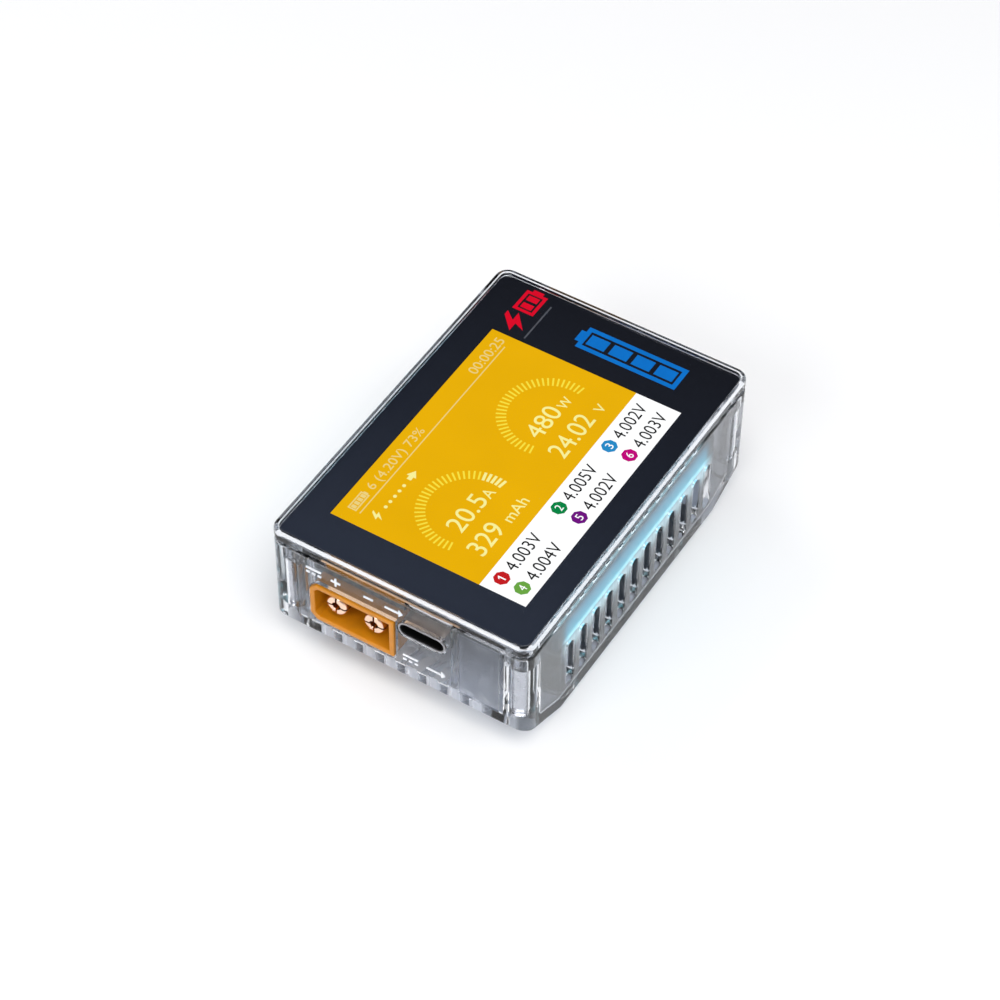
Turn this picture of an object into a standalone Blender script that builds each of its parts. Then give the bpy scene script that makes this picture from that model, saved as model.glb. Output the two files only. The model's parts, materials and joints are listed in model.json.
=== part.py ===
"""Balance battery charger with a clear two-part case, a touch display and a cooling fan.

Metres, +Z up. The origin is on the surface that the charger stands on, under the middle of its case.
+X runs along the case to the battery sockets, -X is the supply end, and -Y is the long side
at the foot of the display's picture.
"""

import math

import bmesh
import bpy
from mathutils import Vector

MM = 0.001

# The case, which everything else is placed from
LENGTH = 71.0 * MM
WIDTH = 48.6 * MM
HEIGHT = 25.6 * MM
WALL = 1.6 * MM
CORNER_RADIUS = 2.4 * MM
EDGE_RADIUS = 0.4 * MM
FOOT_HEIGHT = 0.8 * MM
END_RISE = 4.4 * MM  # how far the ends of the underside lift clear of its middle
SLOPE_RUN = 10.5 * MM
BEZEL_HEIGHT = 2.2 * MM
FLOOR_THICKNESS = 1.5 * MM
JOINT_GAP = 0.3 * MM  # between large pieces that meet
SMALL_GAP = 0.1 * MM  # under components on a board

# Levels of the stack, from the underside up
UNDERSIDE = FOOT_HEIGHT
FLOOR_TOP = UNDERSIDE + FLOOR_THICKNESS
END_UNDERSIDE = UNDERSIDE + END_RISE
PARTING = HEIGHT - BEZEL_HEIGHT
MAIN_BOARD = (17.5 * MM, 19.1 * MM)
DISPLAY_BOARD = (20.8 * MM, 21.8 * MM)
LCD = (22.2 * MM, 24.2 * MM)
GLASS_THICKNESS = 1.1 * MM
GLASS_TOP = HEIGHT - 0.1 * MM
GLASS_BOTTOM = GLASS_TOP - GLASS_THICKNESS
UNDER_BOARD = MAIN_BOARD[0] - SMALL_GAP

# Openings that share one pitch all round the case
VENT_PITCH = 4.05 * MM
VENT_WIDTH = 2.0 * MM
SIDE_VENTS = 12
SIDE_VENT_LEVELS = (4.8 * MM, 14.9 * MM)
END_VENTS = 8
END_VENT_WIDTH = 3.0 * MM
END_VENT_MARGINS = (1.5 * MM, 1.2 * MM)
GRILLE_RADIUS = 13.2 * MM
GRILLE_SLOTS = 7

# Corner posts that the case screws run through
POST = (32.4 * MM, 21.2 * MM)
POST_RADIUS = 2.4 * MM
POST_TOP = 19.0 * MM
SCREW_SEAT = 8.0 * MM
SCREW_HEAD_POCKET_RADIUS = 1.95 * MM
CASE_SCREW_RADIUS = 0.95 * MM

# The supply end's wall: stiffening ribs inside it, and a shallow recess for a label outside
END_RIBS = (17.6 * MM, -10.0 * MM)
END_RIB_THICKNESS = 0.8 * MM
END_RIB_DEPTH = 1.5 * MM
END_RIB_TOP = 22.0 * MM
LABEL_RECESS = ((-19.0 * MM, 7.6 * MM), (-11.4 * MM, 22.6 * MM))
LABEL_RECESS_DEPTH = 0.35 * MM

# Standoffs that carry the main board
STANDOFF = (17.3 * MM, 17.6 * MM)
STANDOFF_RADIUS = 1.9 * MM
STANDOFF_BORE_LOW = 11.5 * MM
BOARD_SCREW_RADIUS = 0.9 * MM

# Rubber feet, set into the underside
FOOT = (20.5 * MM, 19.4 * MM)
FOOT_RADIUS = 3.0 * MM
FOOT_TOP = UNDERSIDE + 0.5 * MM

# Sockets, as (middle Y, middle Z)
INPUT_SOCKET = (8.57 * MM, 13.1 * MM)
OUTPUT_SOCKET = (10.6 * MM, 13.1 * MM)
POWER_SOCKET_SIZE = (16.1 * MM, 8.5 * MM)
POWER_SOCKET_WALL = 0.95 * MM
POWER_SOCKET_DEPTH = 16.3 * MM
POWER_SOCKET_PROUD = 0.3 * MM
POWER_PIN_PITCH = 7.2 * MM
POWER_PIN_RADIUS = 1.75 * MM
POWER_PIN_RECESS = 1.0 * MM
POWER_WELL_DEPTH = 12.0 * MM
PIN_SPLIT_DEPTH = 7.0 * MM
PIN_SPLIT_WIDTH = 0.5 * MM
CONTACT_RADIUS = 2.5 * MM
CONTACT_RECESS = 1.2 * MM
CONTACT_HOLLOW_DEPTH = 11.0 * MM
TAIL_LENGTH = 2.2 * MM  # how far terminals run out of the back of a socket
USB_SOCKET = (-4.6 * MM, 16.7 * MM)
USB_SIZE = (8.94 * MM, 3.1 * MM)
USB_DEPTH = 7.4 * MM
BALANCE_SOCKET = (-8.65 * MM, 13.6 * MM)
BALANCE_SIZE = (19.9 * MM, 5.8 * MM)
BALANCE_DEPTH = 11.0 * MM
BALANCE_PINS = 7
BALANCE_PITCH = 2.5 * MM
SOCKET_CLEARANCE = 0.15 * MM

# The fan, centred on the origin, with its motor base on top and its intake below
FAN_SIZE = 30.0 * MM
FAN = (2.6 * MM, 9.6 * MM)
FAN_BORE_RADIUS = 14.2 * MM
FAN_BASE = 8.6 * MM
FAN_BASE_RADIUS = 7.2 * MM
FAN_PEG = 12.0 * MM
FAN_PEG_RADIUS = 1.1 * MM
FAN_PEG_TOP = 5.0 * MM
HUB_RADIUS = 6.9 * MM
HUB = (3.1 * MM, 8.1 * MM)
BLADE_TIP = 13.6 * MM
BLADES = 7
BLADE_TILT = math.radians(38)
SHAFT_RADIUS = 0.75 * MM

# The display
LCD_SIZE = (60.3 * MM, 42.0 * MM)
LCD_MIDDLE_Y = -0.5 * MM
GLASS_SIZE = (LENGTH - 1.8 * MM, WIDTH - 1.8 * MM)

HALF_LENGTH = LENGTH / 2
HALF_WIDTH = WIDTH / 2
BEYOND = 2 * MM  # how far a cutter runs past the face it cuts
CORNERS = [(x, y) for x in (-1, 1) for y in (-1, 1)]


def new_collection(name):
    collection = bpy.data.collections.new(name)
    bpy.context.scene.collection.children.link(collection)
    return collection


def new_material(name, colour, roughness, metallic=0.0, alpha=1.0):
    material = bpy.data.materials.new(name)
    material.use_nodes = True
    shader = material.node_tree.nodes["Principled BSDF"]
    shader.inputs["Base Color"].default_value = (*colour, 1.0)
    shader.inputs["Roughness"].default_value = roughness
    shader.inputs["Metallic"].default_value = metallic
    shader.inputs["Alpha"].default_value = alpha
    return material


for leftover in list(bpy.data.objects):
    bpy.data.objects.remove(leftover)

PARTS = new_collection("balance_charger")
CUTTERS = new_collection("cutters")

CLEAR = new_material("clear_plastic", (0.85, 0.87, 0.92), 0.08, alpha=0.35)
BLACK_GLASS = new_material("black_glass", (0.02, 0.025, 0.035), 0.08)
DISPLAY = new_material("display", (0.78, 0.42, 0.0), 0.2)
STEEL = new_material("steel", (0.62, 0.62, 0.64), 0.3, 1.0)
ORANGE = new_material("orange_nylon", (0.75, 0.27, 0.0), 0.35)
GOLD = new_material("gold_plate", (0.95, 0.72, 0.45), 0.2, 1.0)
WHITE_NYLON = new_material("white_nylon", (0.8, 0.79, 0.74), 0.45)
BLACK_PLASTIC = new_material("black_plastic", (0.02, 0.02, 0.022), 0.45)
BOARD = new_material("circuit_board", (0.01, 0.03, 0.05), 0.4)
ALUMINIUM = new_material("aluminium", (0.72, 0.73, 0.75), 0.35, 1.0)
FERRITE = new_material("ferrite", (0.08, 0.08, 0.085), 0.6)
COPPER = new_material("copper", (0.72, 0.35, 0.2), 0.3, 1.0)
LIGHT_GUIDE = new_material("light_guide", (0.25, 0.8, 0.95), 0.4)
RUBBER = new_material("rubber", (0.03, 0.03, 0.03), 0.85)
FLEX = new_material("flex_film", (0.5, 0.22, 0.04), 0.35)


def add_object(name, mesh, material):
    """Puts a mesh in the scene: a part if it has a material, and a hidden cutter if it has none."""
    obj = bpy.data.objects.new(name, mesh)
    if material is None:
        CUTTERS.objects.link(obj)
        obj.hide_render = True
        obj.display_type = "WIRE"
    else:
        PARTS.objects.link(obj)
        mesh.materials.append(material)
    return obj


def box(name, low, high, material=None):
    """A block between its lowest and its highest corner."""
    shape = bmesh.new()
    bmesh.ops.create_cube(shape, size=1.0)
    low, high = Vector(low), Vector(high)
    bmesh.ops.scale(shape, vec=high - low, verts=shape.verts)
    mesh = bpy.data.meshes.new(name)
    shape.to_mesh(mesh)
    shape.free()
    obj = add_object(name, mesh, material)
    obj.location = (low + high) / 2
    return obj


def rod(name, radius, start, end, material=None, sides=24, end_radius=None):
    """A round bar from start to end, or a cone where end_radius differs."""
    start, end = Vector(start), Vector(end)
    along = end - start
    shape = bmesh.new()
    bmesh.ops.create_cone(
        shape,
        cap_ends=True,
        segments=sides,
        radius1=radius,
        radius2=radius if end_radius is None else end_radius,
        depth=along.length,
    )
    mesh = bpy.data.meshes.new(name)
    shape.to_mesh(mesh)
    shape.free()
    mesh.shade_smooth()
    mesh.set_sharp_from_angle(angle=math.radians(40))
    obj = add_object(name, mesh, material)
    obj.location = (start + end) / 2
    obj.rotation_mode = "QUATERNION"
    obj.rotation_quaternion = along.to_track_quat("Z", "Y")
    return obj


def slab(name, outlines, low, high, material=None, across="Z"):
    """Flat outlines with thickness. An outline inside another is a hole in it.
    An outline's points are (x, y) across Z, (x, z) across Y and (y, z) across X."""
    curve = bpy.data.curves.new(name, "CURVE")
    curve.dimensions = "2D"
    curve.fill_mode = "BOTH"
    curve.extrude = (high - low) / 2
    for outline in outlines:
        spline = curve.splines.new("POLY")
        spline.points.add(len(outline) - 1)
        spline.use_cyclic_u = True
        for point, (u, v) in zip(spline.points, outline):
            point.co = (u, v, 0.0, 1.0)
    guide = bpy.data.objects.new(name + "_outline", curve)
    bpy.context.scene.collection.objects.link(guide)
    graph = bpy.context.evaluated_depsgraph_get()
    mesh = bpy.data.meshes.new_from_object(guide.evaluated_get(graph))
    bpy.data.objects.remove(guide)
    shape = bmesh.new()
    shape.from_mesh(mesh)
    bmesh.ops.remove_doubles(shape, verts=shape.verts, dist=0.001 * MM)
    bmesh.ops.recalc_face_normals(shape, faces=shape.faces)
    shape.to_mesh(mesh)
    shape.free()
    mesh.materials.clear()
    mesh.shade_smooth()
    mesh.set_sharp_from_angle(angle=math.radians(40))
    mesh.name = name
    obj = add_object(name, mesh, material)
    middle = (low + high) / 2
    quarter = math.pi / 2
    placing = {
        "Z": ((0, 0, middle), (0, 0, 0)),
        "Y": ((0, middle, 0), (quarter, 0, 0)),
        "X": ((middle, 0, 0), (quarter, 0, quarter)),
    }
    obj.location, obj.rotation_euler = placing[across]
    return obj


def rounded_rectangle(size, radius, middle=(0, 0), steps=4):
    """A rectangle's outline with its corners as arcs."""
    points = []
    for corner, (sx, sy) in enumerate([(1, 1), (-1, 1), (-1, -1), (1, -1)]):
        cx = middle[0] + sx * (size[0] / 2 - radius)
        cy = middle[1] + sy * (size[1] / 2 - radius)
        for step in range(steps + 1):
            angle = math.pi / 2 * (corner + step / steps)
            points.append((cx + radius * math.cos(angle), cy + radius * math.sin(angle)))
    return points


def rectangle(low, high):
    return [low, (high[0], low[1]), high, (low[0], high[1])]


def circle(radius, middle=(0, 0), sides=24):
    turn = 2 * math.pi / sides
    return [
        (middle[0] + radius * math.cos(turn * i), middle[1] + radius * math.sin(turn * i))
        for i in range(sides)
    ]


def capsule(low, high, steps=4):
    """The outline of a slot with round ends, filling the rectangle between two corners."""
    size = (high[0] - low[0], high[1] - low[1])
    middle = ((low[0] + high[0]) / 2, (low[1] + high[1]) / 2)
    radius = min(size) / 2
    along_x = size[0] > size[1]
    reach = max(size) / 2 - radius
    points = []
    for end in (1, -1):
        for step in range(steps + 1):
            angle = math.pi * (step / steps) - math.pi / 2
            out, side = end * (reach + radius * math.cos(angle)), end * radius * math.sin(angle)
            offset = (out, side) if along_x else (-side, out)
            points.append((middle[0] + offset[0], middle[1] + offset[1]))
    return points


def around(middle, size, grow=0.0):
    """The corners of a rectangle about a middle, each side moved out by grow."""
    half = (size[0] / 2 + grow, size[1] / 2 + grow)
    return (middle[0] - half[0], middle[1] - half[1]), (middle[0] + half[0], middle[1] + half[1])


def combine(target, other, operation="DIFFERENCE"):
    modifier = target.modifiers.new(other.name, "BOOLEAN")
    modifier.operation = operation
    modifier.object = other
    return target


def join(target, other):
    """Makes a helper part of the target. A helper is a hidden cutter too."""
    return combine(target, other, "UNION")


def round_edges(target, width=EDGE_RADIUS):
    modifier = target.modifiers.new("edges", "BEVEL")
    modifier.width = width
    modifier.segments = 2
    modifier.limit_method = "ANGLE"
    modifier.angle_limit = math.radians(35)
    return target


def corner_tag(sx, sy):
    """Tells the helpers of the four corners apart."""
    return ("minus" if sx < 0 else "plus") + ("_minus" if sy < 0 else "_plus")


def end_wedge(side):
    """What lies below one sloping end of the underside."""
    slope = END_RISE / SLOPE_RUN
    outer = HALF_LENGTH + BEYOND
    inner = HALF_LENGTH - SLOPE_RUN - BEYOND
    outline = [
        (side * outer, END_UNDERSIDE + BEYOND * slope),
        (side * inner, UNDERSIDE - BEYOND * slope),
        (side * inner, -BEYOND),
        (side * outer, -BEYOND),
    ]
    reach = HALF_WIDTH + BEYOND
    return slab(f"end_wedge_{side}", [outline], -reach, reach, across="Y")


def cavity():
    """The hollow of the lower shell, which keeps one thickness over the sloping ends."""
    slope = END_RISE / SLOPE_RUN
    thickness = FLOOR_THICKNESS * math.hypot(1, slope)
    inner = HALF_LENGTH - WALL
    kink = inner - (END_UNDERSIDE - WALL * slope + thickness - FLOOR_TOP) / slope
    outline = [
        (-inner, END_UNDERSIDE - WALL * slope + thickness),
        (-kink, FLOOR_TOP),
        (kink, FLOOR_TOP),
        (inner, END_UNDERSIDE - WALL * slope + thickness),
        (inner, HEIGHT),
        (-inner, HEIGHT),
    ]
    return slab("shell_cavity", [outline], WALL - HALF_WIDTH, HALF_WIDTH - WALL, across="Y")


def side_vent_cutter():
    """The upright slots of both long sides, cut in one pass right through the shell."""
    outlines = []
    for i in range(SIDE_VENTS):
        x = (i - (SIDE_VENTS - 1) / 2) * VENT_PITCH
        low = (x - VENT_WIDTH / 2, SIDE_VENT_LEVELS[0])
        outlines.append(capsule(low, (x + VENT_WIDTH / 2, SIDE_VENT_LEVELS[1])))
    reach = HALF_WIDTH + BEYOND
    return slab("side_vents", outlines, -reach, reach, across="Y")


def end_vent_cutter():
    """The intake slots of both sloping ends."""
    near, far = HALF_LENGTH - SLOPE_RUN + END_VENT_MARGINS[0], HALF_LENGTH - END_VENT_MARGINS[1]
    half = END_VENT_WIDTH / 2
    outlines = []
    for i in range(END_VENTS):
        y = (i - (END_VENTS - 1) / 2) * VENT_PITCH
        for low_x, high_x in ((near, far), (-far, -near)):
            outlines.append(capsule((low_x, y - half), (high_x, y + half)))
    return slab("end_vents", outlines, -BEYOND, END_UNDERSIDE + BEYOND)


def grille_cutter():
    """The fan's intake: parallel slots that fill a circle in the floor."""
    outlines = []
    for i in range(GRILLE_SLOTS):
        y = (i - (GRILLE_SLOTS - 1) / 2) * VENT_PITCH
        half = math.sqrt(GRILLE_RADIUS**2 - y**2)
        outlines.append(capsule((-half, y - VENT_WIDTH / 2), (half, y + VENT_WIDTH / 2)))
    return slab("intake_grille", outlines, -BEYOND, FLOOR_TOP + BEYOND)


def supply_end(shell):
    """Ribs inside the supply end's wall, and the label recess on its outside."""
    wall = -HALF_LENGTH + WALL
    for i, y in enumerate(END_RIBS):
        half = END_RIB_THICKNESS / 2
        low = (wall - WALL / 2, y - half, END_UNDERSIDE)
        join(shell, box(f"end_rib_{i}", low, (wall + END_RIB_DEPTH, y + half, END_RIB_TOP)))
    recess = rectangle(*LABEL_RECESS)
    low, high = -HALF_LENGTH - BEYOND, -HALF_LENGTH + LABEL_RECESS_DEPTH
    combine(shell, slab("label_recess", [recess], low, high, across="X"))


def lower_shell():
    """The clear tray: walls, sloping ends, corner posts, standoffs and every opening."""
    outline = rounded_rectangle((LENGTH, WIDTH), CORNER_RADIUS)
    shell = slab("lower_shell", [outline], UNDERSIDE, PARTING - JOINT_GAP, CLEAR)
    wedges = [end_wedge(side) for side in (-1, 1)]
    for wedge in wedges:
        combine(shell, wedge)
    round_edges(shell)
    combine(shell, cavity())
    supply_end(shell)
    for sx, sy in CORNERS:
        x, y = sx * POST[0], sy * POST[1]
        tag = corner_tag(sx, sy)
        post = rod(f"post_{tag}", POST_RADIUS, (x, y, UNDERSIDE + 1 * MM), (x, y, POST_TOP))
        combine(post, wedges[sx > 0])
        join(shell, post)
        bore = CASE_SCREW_RADIUS + SOCKET_CLEARANCE
        combine(shell, rod(f"post_bore_{tag}", bore, (x, y, 0), (x, y, HEIGHT), sides=16))
        pocket = SCREW_HEAD_POCKET_RADIUS
        combine(shell, rod(f"post_pocket_{tag}", pocket, (x, y, 0), (x, y, SCREW_SEAT)))
        x, y = sx * STANDOFF[0], sy * STANDOFF[1]
        foot = (x, y, UNDERSIDE + FLOOR_THICKNESS / 2)
        join(shell, rod(f"standoff_{tag}", STANDOFF_RADIUS, foot, (x, y, UNDER_BOARD), sides=16))
        hole = BOARD_SCREW_RADIUS + SOCKET_CLEARANCE
        top = (x, y, HEIGHT)
        combine(shell, rod(f"standoff_bore_{tag}", hole, (x, y, STANDOFF_BORE_LOW), top, sides=12))
        x, y = sx * FAN_PEG, sy * FAN_PEG
        foot = (x, y, UNDERSIDE + FLOOR_THICKNESS / 2)
        join(shell, rod(f"fan_peg_{tag}", FAN_PEG_RADIUS, foot, (x, y, FAN_PEG_TOP), sides=12))
        x, y = sx * FOOT[0], sy * FOOT[1]
        recess = FOOT_RADIUS + SOCKET_CLEARANCE
        combine(shell, rod(f"foot_recess_{tag}", recess, (x, y, 0), (x, y, FOOT_TOP + SMALL_GAP)))
    for cutter in (side_vent_cutter(), end_vent_cutter(), grille_cutter()):
        combine(shell, cutter)
    grow = SOCKET_CLEARANCE
    at_input = (-HALF_LENGTH - BEYOND, -HALF_LENGTH + WALL + BEYOND)
    at_output = (HALF_LENGTH - WALL - BEYOND, HALF_LENGTH + BEYOND)
    openings = {
        "input_opening": (power_socket_outline(INPUT_SOCKET, grow), at_input),
        "usb_opening": (capsule(*around(USB_SOCKET, USB_SIZE, grow)), at_input),
        "output_opening": (power_socket_outline(OUTPUT_SOCKET, grow), at_output),
        "balance_opening": (rectangle(*around(BALANCE_SOCKET, BALANCE_SIZE, grow)), at_output),
    }
    for name, (hole, (low, high)) in openings.items():
        combine(shell, slab(name, [hole], low, high, across="X"))
    return shell


def bezel_frame():
    """The clear frame that holds the cover glass, with a lip and screw bosses that reach into the shell."""
    outline = rounded_rectangle((LENGTH, WIDTH), CORNER_RADIUS)
    frame = slab("bezel_frame", [outline], PARTING, HEIGHT, CLEAR)
    round_edges(frame)
    inside = (LENGTH - 2 * WALL - 0.4 * MM, WIDTH - 2 * WALL - 0.4 * MM)
    half_x, half_y = inside[0] / 2 - SMALL_GAP, inside[1] / 2 - SMALL_GAP
    limit = box("boss_limit", (-half_x, -half_y, 0), (half_x, half_y, HEIGHT))
    for sx, sy in CORNERS:
        x, y = sx * POST[0], sy * POST[1]
        low, high = (x, y, POST_TOP + JOINT_GAP), (x, y, PARTING + 0.6 * MM)
        boss = rod(f"boss_{corner_tag(sx, sy)}", POST_RADIUS, low, high)
        combine(boss, limit, "INTERSECT")
        join(frame, boss)
    lip_wall = 0.8 * MM
    outer = rounded_rectangle(inside, 0.8 * MM, steps=2)
    inner = rectangle(*around((0, 0), inside, -lip_wall))
    join(frame, slab("lip", [outer, inner], PARTING - 1.0 * MM, PARTING + 0.5 * MM))
    pocket_size = (GLASS_SIZE[0] + 0.3 * MM, GLASS_SIZE[1] + 0.3 * MM)
    pocket = rounded_rectangle(pocket_size, CORNER_RADIUS - 0.8 * MM)
    combine(frame, slab("glass_pocket", [pocket], GLASS_BOTTOM - SMALL_GAP, HEIGHT + BEYOND))
    window = rectangle(*around((0, LCD_MIDDLE_Y), LCD_SIZE, 0.3 * MM))
    combine(frame, slab("window", [window], PARTING - BEYOND, HEIGHT))
    bore = CASE_SCREW_RADIUS + SMALL_GAP
    for sx, sy in CORNERS:
        x, y = sx * POST[0], sy * POST[1]
        tag = corner_tag(sx, sy)
        low, high = (x, y, POST_TOP), (x, y, PARTING - 0.3 * MM)
        combine(frame, rod(f"boss_bore_{tag}", bore, low, high, sides=16))
    return frame


def display_stack():
    """The cover glass, the display under it, the board that drives it and the film that joins them."""
    glass = rounded_rectangle(GLASS_SIZE, CORNER_RADIUS - 0.9 * MM)
    slab("touch_glass", [glass], GLASS_BOTTOM, GLASS_TOP, BLACK_GLASS)
    tray = rectangle(*around((0, LCD_MIDDLE_Y), LCD_SIZE))
    rim = 1.2 * MM
    well = rectangle(*around((0, LCD_MIDDLE_Y), LCD_SIZE, -rim))
    frame = slab("lcd_frame", [tray], *LCD, STEEL)
    cell_bottom = LCD[0] + 0.9 * MM
    combine(frame, slab("lcd_well", [well], cell_bottom - SMALL_GAP, HEIGHT))
    cell = rectangle(*around((0, LCD_MIDDLE_Y), LCD_SIZE, -rim - SMALL_GAP))
    slab("lcd_cell", [cell], cell_bottom, LCD[1], DISPLAY)
    slab("display_board", [rectangle((-29 * MM, -19.6 * MM), (29 * MM, 19.6 * MM))], *DISPLAY_BOARD, BOARD)
    under = DISPLAY_BOARD[0] - SMALL_GAP
    box("mcu_chip", (-15 * MM, -9 * MM, under - 0.9 * MM), (-6 * MM, 0, under), BLACK_PLASTIC)
    over = MAIN_BOARD[1] + SMALL_GAP
    box("board_header", (8 * MM, 4 * MM, over), (20.7 * MM, 9 * MM, under), BLACK_PLASTIC)
    flex_film()


def flex_film():
    """The display's film: out of the frame's end, round in a half turn and back under the driver board."""
    thickness = 0.2 * MM
    top, bottom = LCD[0] + 0.6 * MM, DISPLAY_BOARD[0] - 0.35 * MM
    middle, radius = (top + bottom) / 2, (top - bottom) / 2
    start, bend, end = LCD_SIZE[0] / 2 + SMALL_GAP, 30.4 * MM, 24 * MM
    arcs = []
    for r in (radius, radius - thickness):
        turn = [math.pi / 2 - math.pi * i / 8 for i in range(9)]
        arcs.append([(bend + r * math.cos(a), middle + r * math.sin(a)) for a in turn])
    outer, inner = arcs
    outline = [(start, top), *outer, (end, bottom)]
    outline += [(end, bottom + thickness), *reversed(inner), (start, top - thickness)]
    slab("lcd_flex", [outline], -9 * MM, 9 * MM, FLEX, across="Y")


def main_board():
    """The power board, cut back at its corners for the posts and at its edge for the USB socket."""
    long_x, short_x = 32.0 * MM, 28.8 * MM
    long_y, short_y = 19.6 * MM, 18.0 * MM
    (notch_low, _), (notch_high, _) = around(USB_SOCKET, USB_SIZE, 0.4 * MM)
    notch_x = -HALF_LENGTH + USB_DEPTH + 0.6 * MM
    outline = [
        (-short_x, -long_y),
        (short_x, -long_y),
        (short_x, -short_y),
        (long_x, -short_y),
        (long_x, short_y),
        (short_x, short_y),
        (short_x, long_y),
        (-short_x, long_y),
        (-short_x, short_y),
        (-long_x, short_y),
        (-long_x, notch_high),
        (notch_x, notch_high),
        (notch_x, notch_low),
        (-long_x, notch_low),
        (-long_x, -short_y),
        (-short_x, -short_y),
    ]
    radius = BOARD_SCREW_RADIUS + SOCKET_CLEARANCE
    holes = [
        circle(radius, (sx * STANDOFF[0], sy * STANDOFF[1]), sides=12) for sx, sy in CORNERS
    ]
    slab("main_board", [outline, *holes], *MAIN_BOARD, BOARD)


def power_electronics():
    """What hangs under the main board: switches on a heat sink, inductors, capacitors, shunt, buzzer."""
    sink = (10.2 * MM, 16.0 * MM)
    fins, fin_pitch, half_fin, base = 9, 3.5 * MM, 0.45 * MM, 1.6 * MM
    reach = (fins - 1) / 2 * fin_pitch + half_fin
    comb = [(reach, sink[1]), (-reach, sink[1])]
    for i in range(fins):
        x = (i - (fins - 1) / 2) * fin_pitch
        root = sink[1] - base
        comb += [(x - half_fin, root)] if i > 0 else []
        comb += [(x - half_fin, sink[0]), (x + half_fin, sink[0])]
        comb += [(x + half_fin, root)] if i < fins - 1 else []
    slab("heat_sink", [comb], -19.4 * MM, -2.4 * MM, ALUMINIUM, across="Y")
    pad = (sink[1] + SMALL_GAP, sink[1] + 0.5 * MM)
    box("thermal_pad", (-13.5 * MM, -17 * MM, pad[0]), (13.5 * MM, -5 * MM, pad[1]), WHITE_NYLON)
    for i in range(4):
        x = (i - 1.5) * 6.6 * MM
        low = (x - 2.5 * MM, -14 * MM, pad[1] + SMALL_GAP)
        box(f"power_switch_{i + 1}", low, (x + 2.5 * MM, -8 * MM, UNDER_BOARD), BLACK_PLASTIC)
    for i, sx in enumerate((-1, 1)):
        middle, half = (sx * 7.2 * MM, 5.4 * MM), 6.1 * MM
        low = (middle[0] - half, middle[1] - half, UNDER_BOARD - 6.4 * MM)
        high = (middle[0] + half, middle[1] + half, UNDER_BOARD)
        round_edges(box(f"inductor_{i + 1}", low, high, FERRITE), 0.6 * MM)
        x, y = sx * 6.2 * MM, 15.9 * MM
        top = (x, y, UNDER_BOARD)
        rod(f"capacitor_{i + 1}", 3.9 * MM, (x, y, UNDER_BOARD - 7.0 * MM), top, ALUMINIUM)
    shunt = UNDER_BOARD - 0.9 * MM
    box("current_shunt", (-16.9 * MM, 2 * MM, shunt), (-13.8 * MM, 8.4 * MM, UNDER_BOARD), COPPER)
    x, y = -24.6 * MM, -13.4 * MM
    low, high = (x, y, UNDER_BOARD - 4.6 * MM), (x, y, UNDER_BOARD)
    buzzer = rod("buzzer", 4.3 * MM, low, high, BLACK_PLASTIC)
    hole_end = (x, y, low[2] + 1.2 * MM)
    combine(buzzer, rod("buzzer_hole", 1.0 * MM, (x, y, low[2] - BEYOND), hole_end, sides=12))


def power_socket_outline(socket, grow=0.0):
    """A power connector's outline: a rectangle with its two +Y corners cut."""
    (y0, z0), (y1, z1) = around(socket, POWER_SOCKET_SIZE, grow)
    cut = 1.3 * MM + grow * 0.6
    return [(y0, z0), (y1 - cut, z0), (y1, z0 + cut), (y1, z1 - cut), (y1 - cut, z1), (y0, z1)]


def terminal(housing, name, radius, mouth, back, y, z):
    """A round terminal in its bore through a housing. Its neck turns up behind it to the main board."""
    inward = 1 if back > mouth else -1
    bore = radius + SMALL_GAP
    low, high = (mouth - inward * BEYOND, y, z), (back + inward * BEYOND, y, z)
    combine(housing, rod(name + "_bore", bore, low, high, sides=20))
    piece = rod(name, radius, (mouth, y, z), (back + inward * 0.2 * MM, y, z), GOLD, sides=20)
    round_edges(piece, 0.35 * MM)
    end = back + inward * TAIL_LENGTH
    join(piece, rod(name + "_neck", 1.0 * MM, (back - inward * MM, y, z), (end, y, z), sides=16))
    tail = end - inward * 1.0 * MM
    join(piece, rod(name + "_tail", 0.8 * MM, (tail, y, z), (tail, y, UNDER_BOARD), sides=12))
    return piece


def input_socket():
    """The supply inlet: a nylon cup with two split pins, whose tails turn up to the main board."""
    face = -HALF_LENGTH - POWER_SOCKET_PROUD
    back = face + POWER_SOCKET_DEPTH
    outline = power_socket_outline(INPUT_SOCKET)
    housing = slab("input_housing", [outline], face, back, ORANGE, across="X")
    well = power_socket_outline(INPUT_SOCKET, -POWER_SOCKET_WALL)
    floor = face + POWER_WELL_DEPTH
    combine(housing, slab("input_well", [well], face - BEYOND, floor, across="X"))
    half = PIN_SPLIT_WIDTH / 2
    for name, side in (("input_pin_positive", 1), ("input_pin_negative", -1)):
        y, z = INPUT_SOCKET[0] + side * POWER_PIN_PITCH / 2, INPUT_SOCKET[1]
        tip = face + POWER_PIN_RECESS
        pin = terminal(housing, name, POWER_PIN_RADIUS, tip, back, y, z)
        reach = POWER_PIN_RADIUS + BEYOND
        start, depth = tip - BEYOND, tip + PIN_SPLIT_DEPTH
        low, high = (start, y - half, z - reach), (depth, y + half, z + reach)
        combine(pin, box(name + "_slot_upright", low, high))
        low, high = (start, y - reach, z - half), (depth, y + reach, z + half)
        combine(pin, box(name + "_slot_level", low, high))


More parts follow.
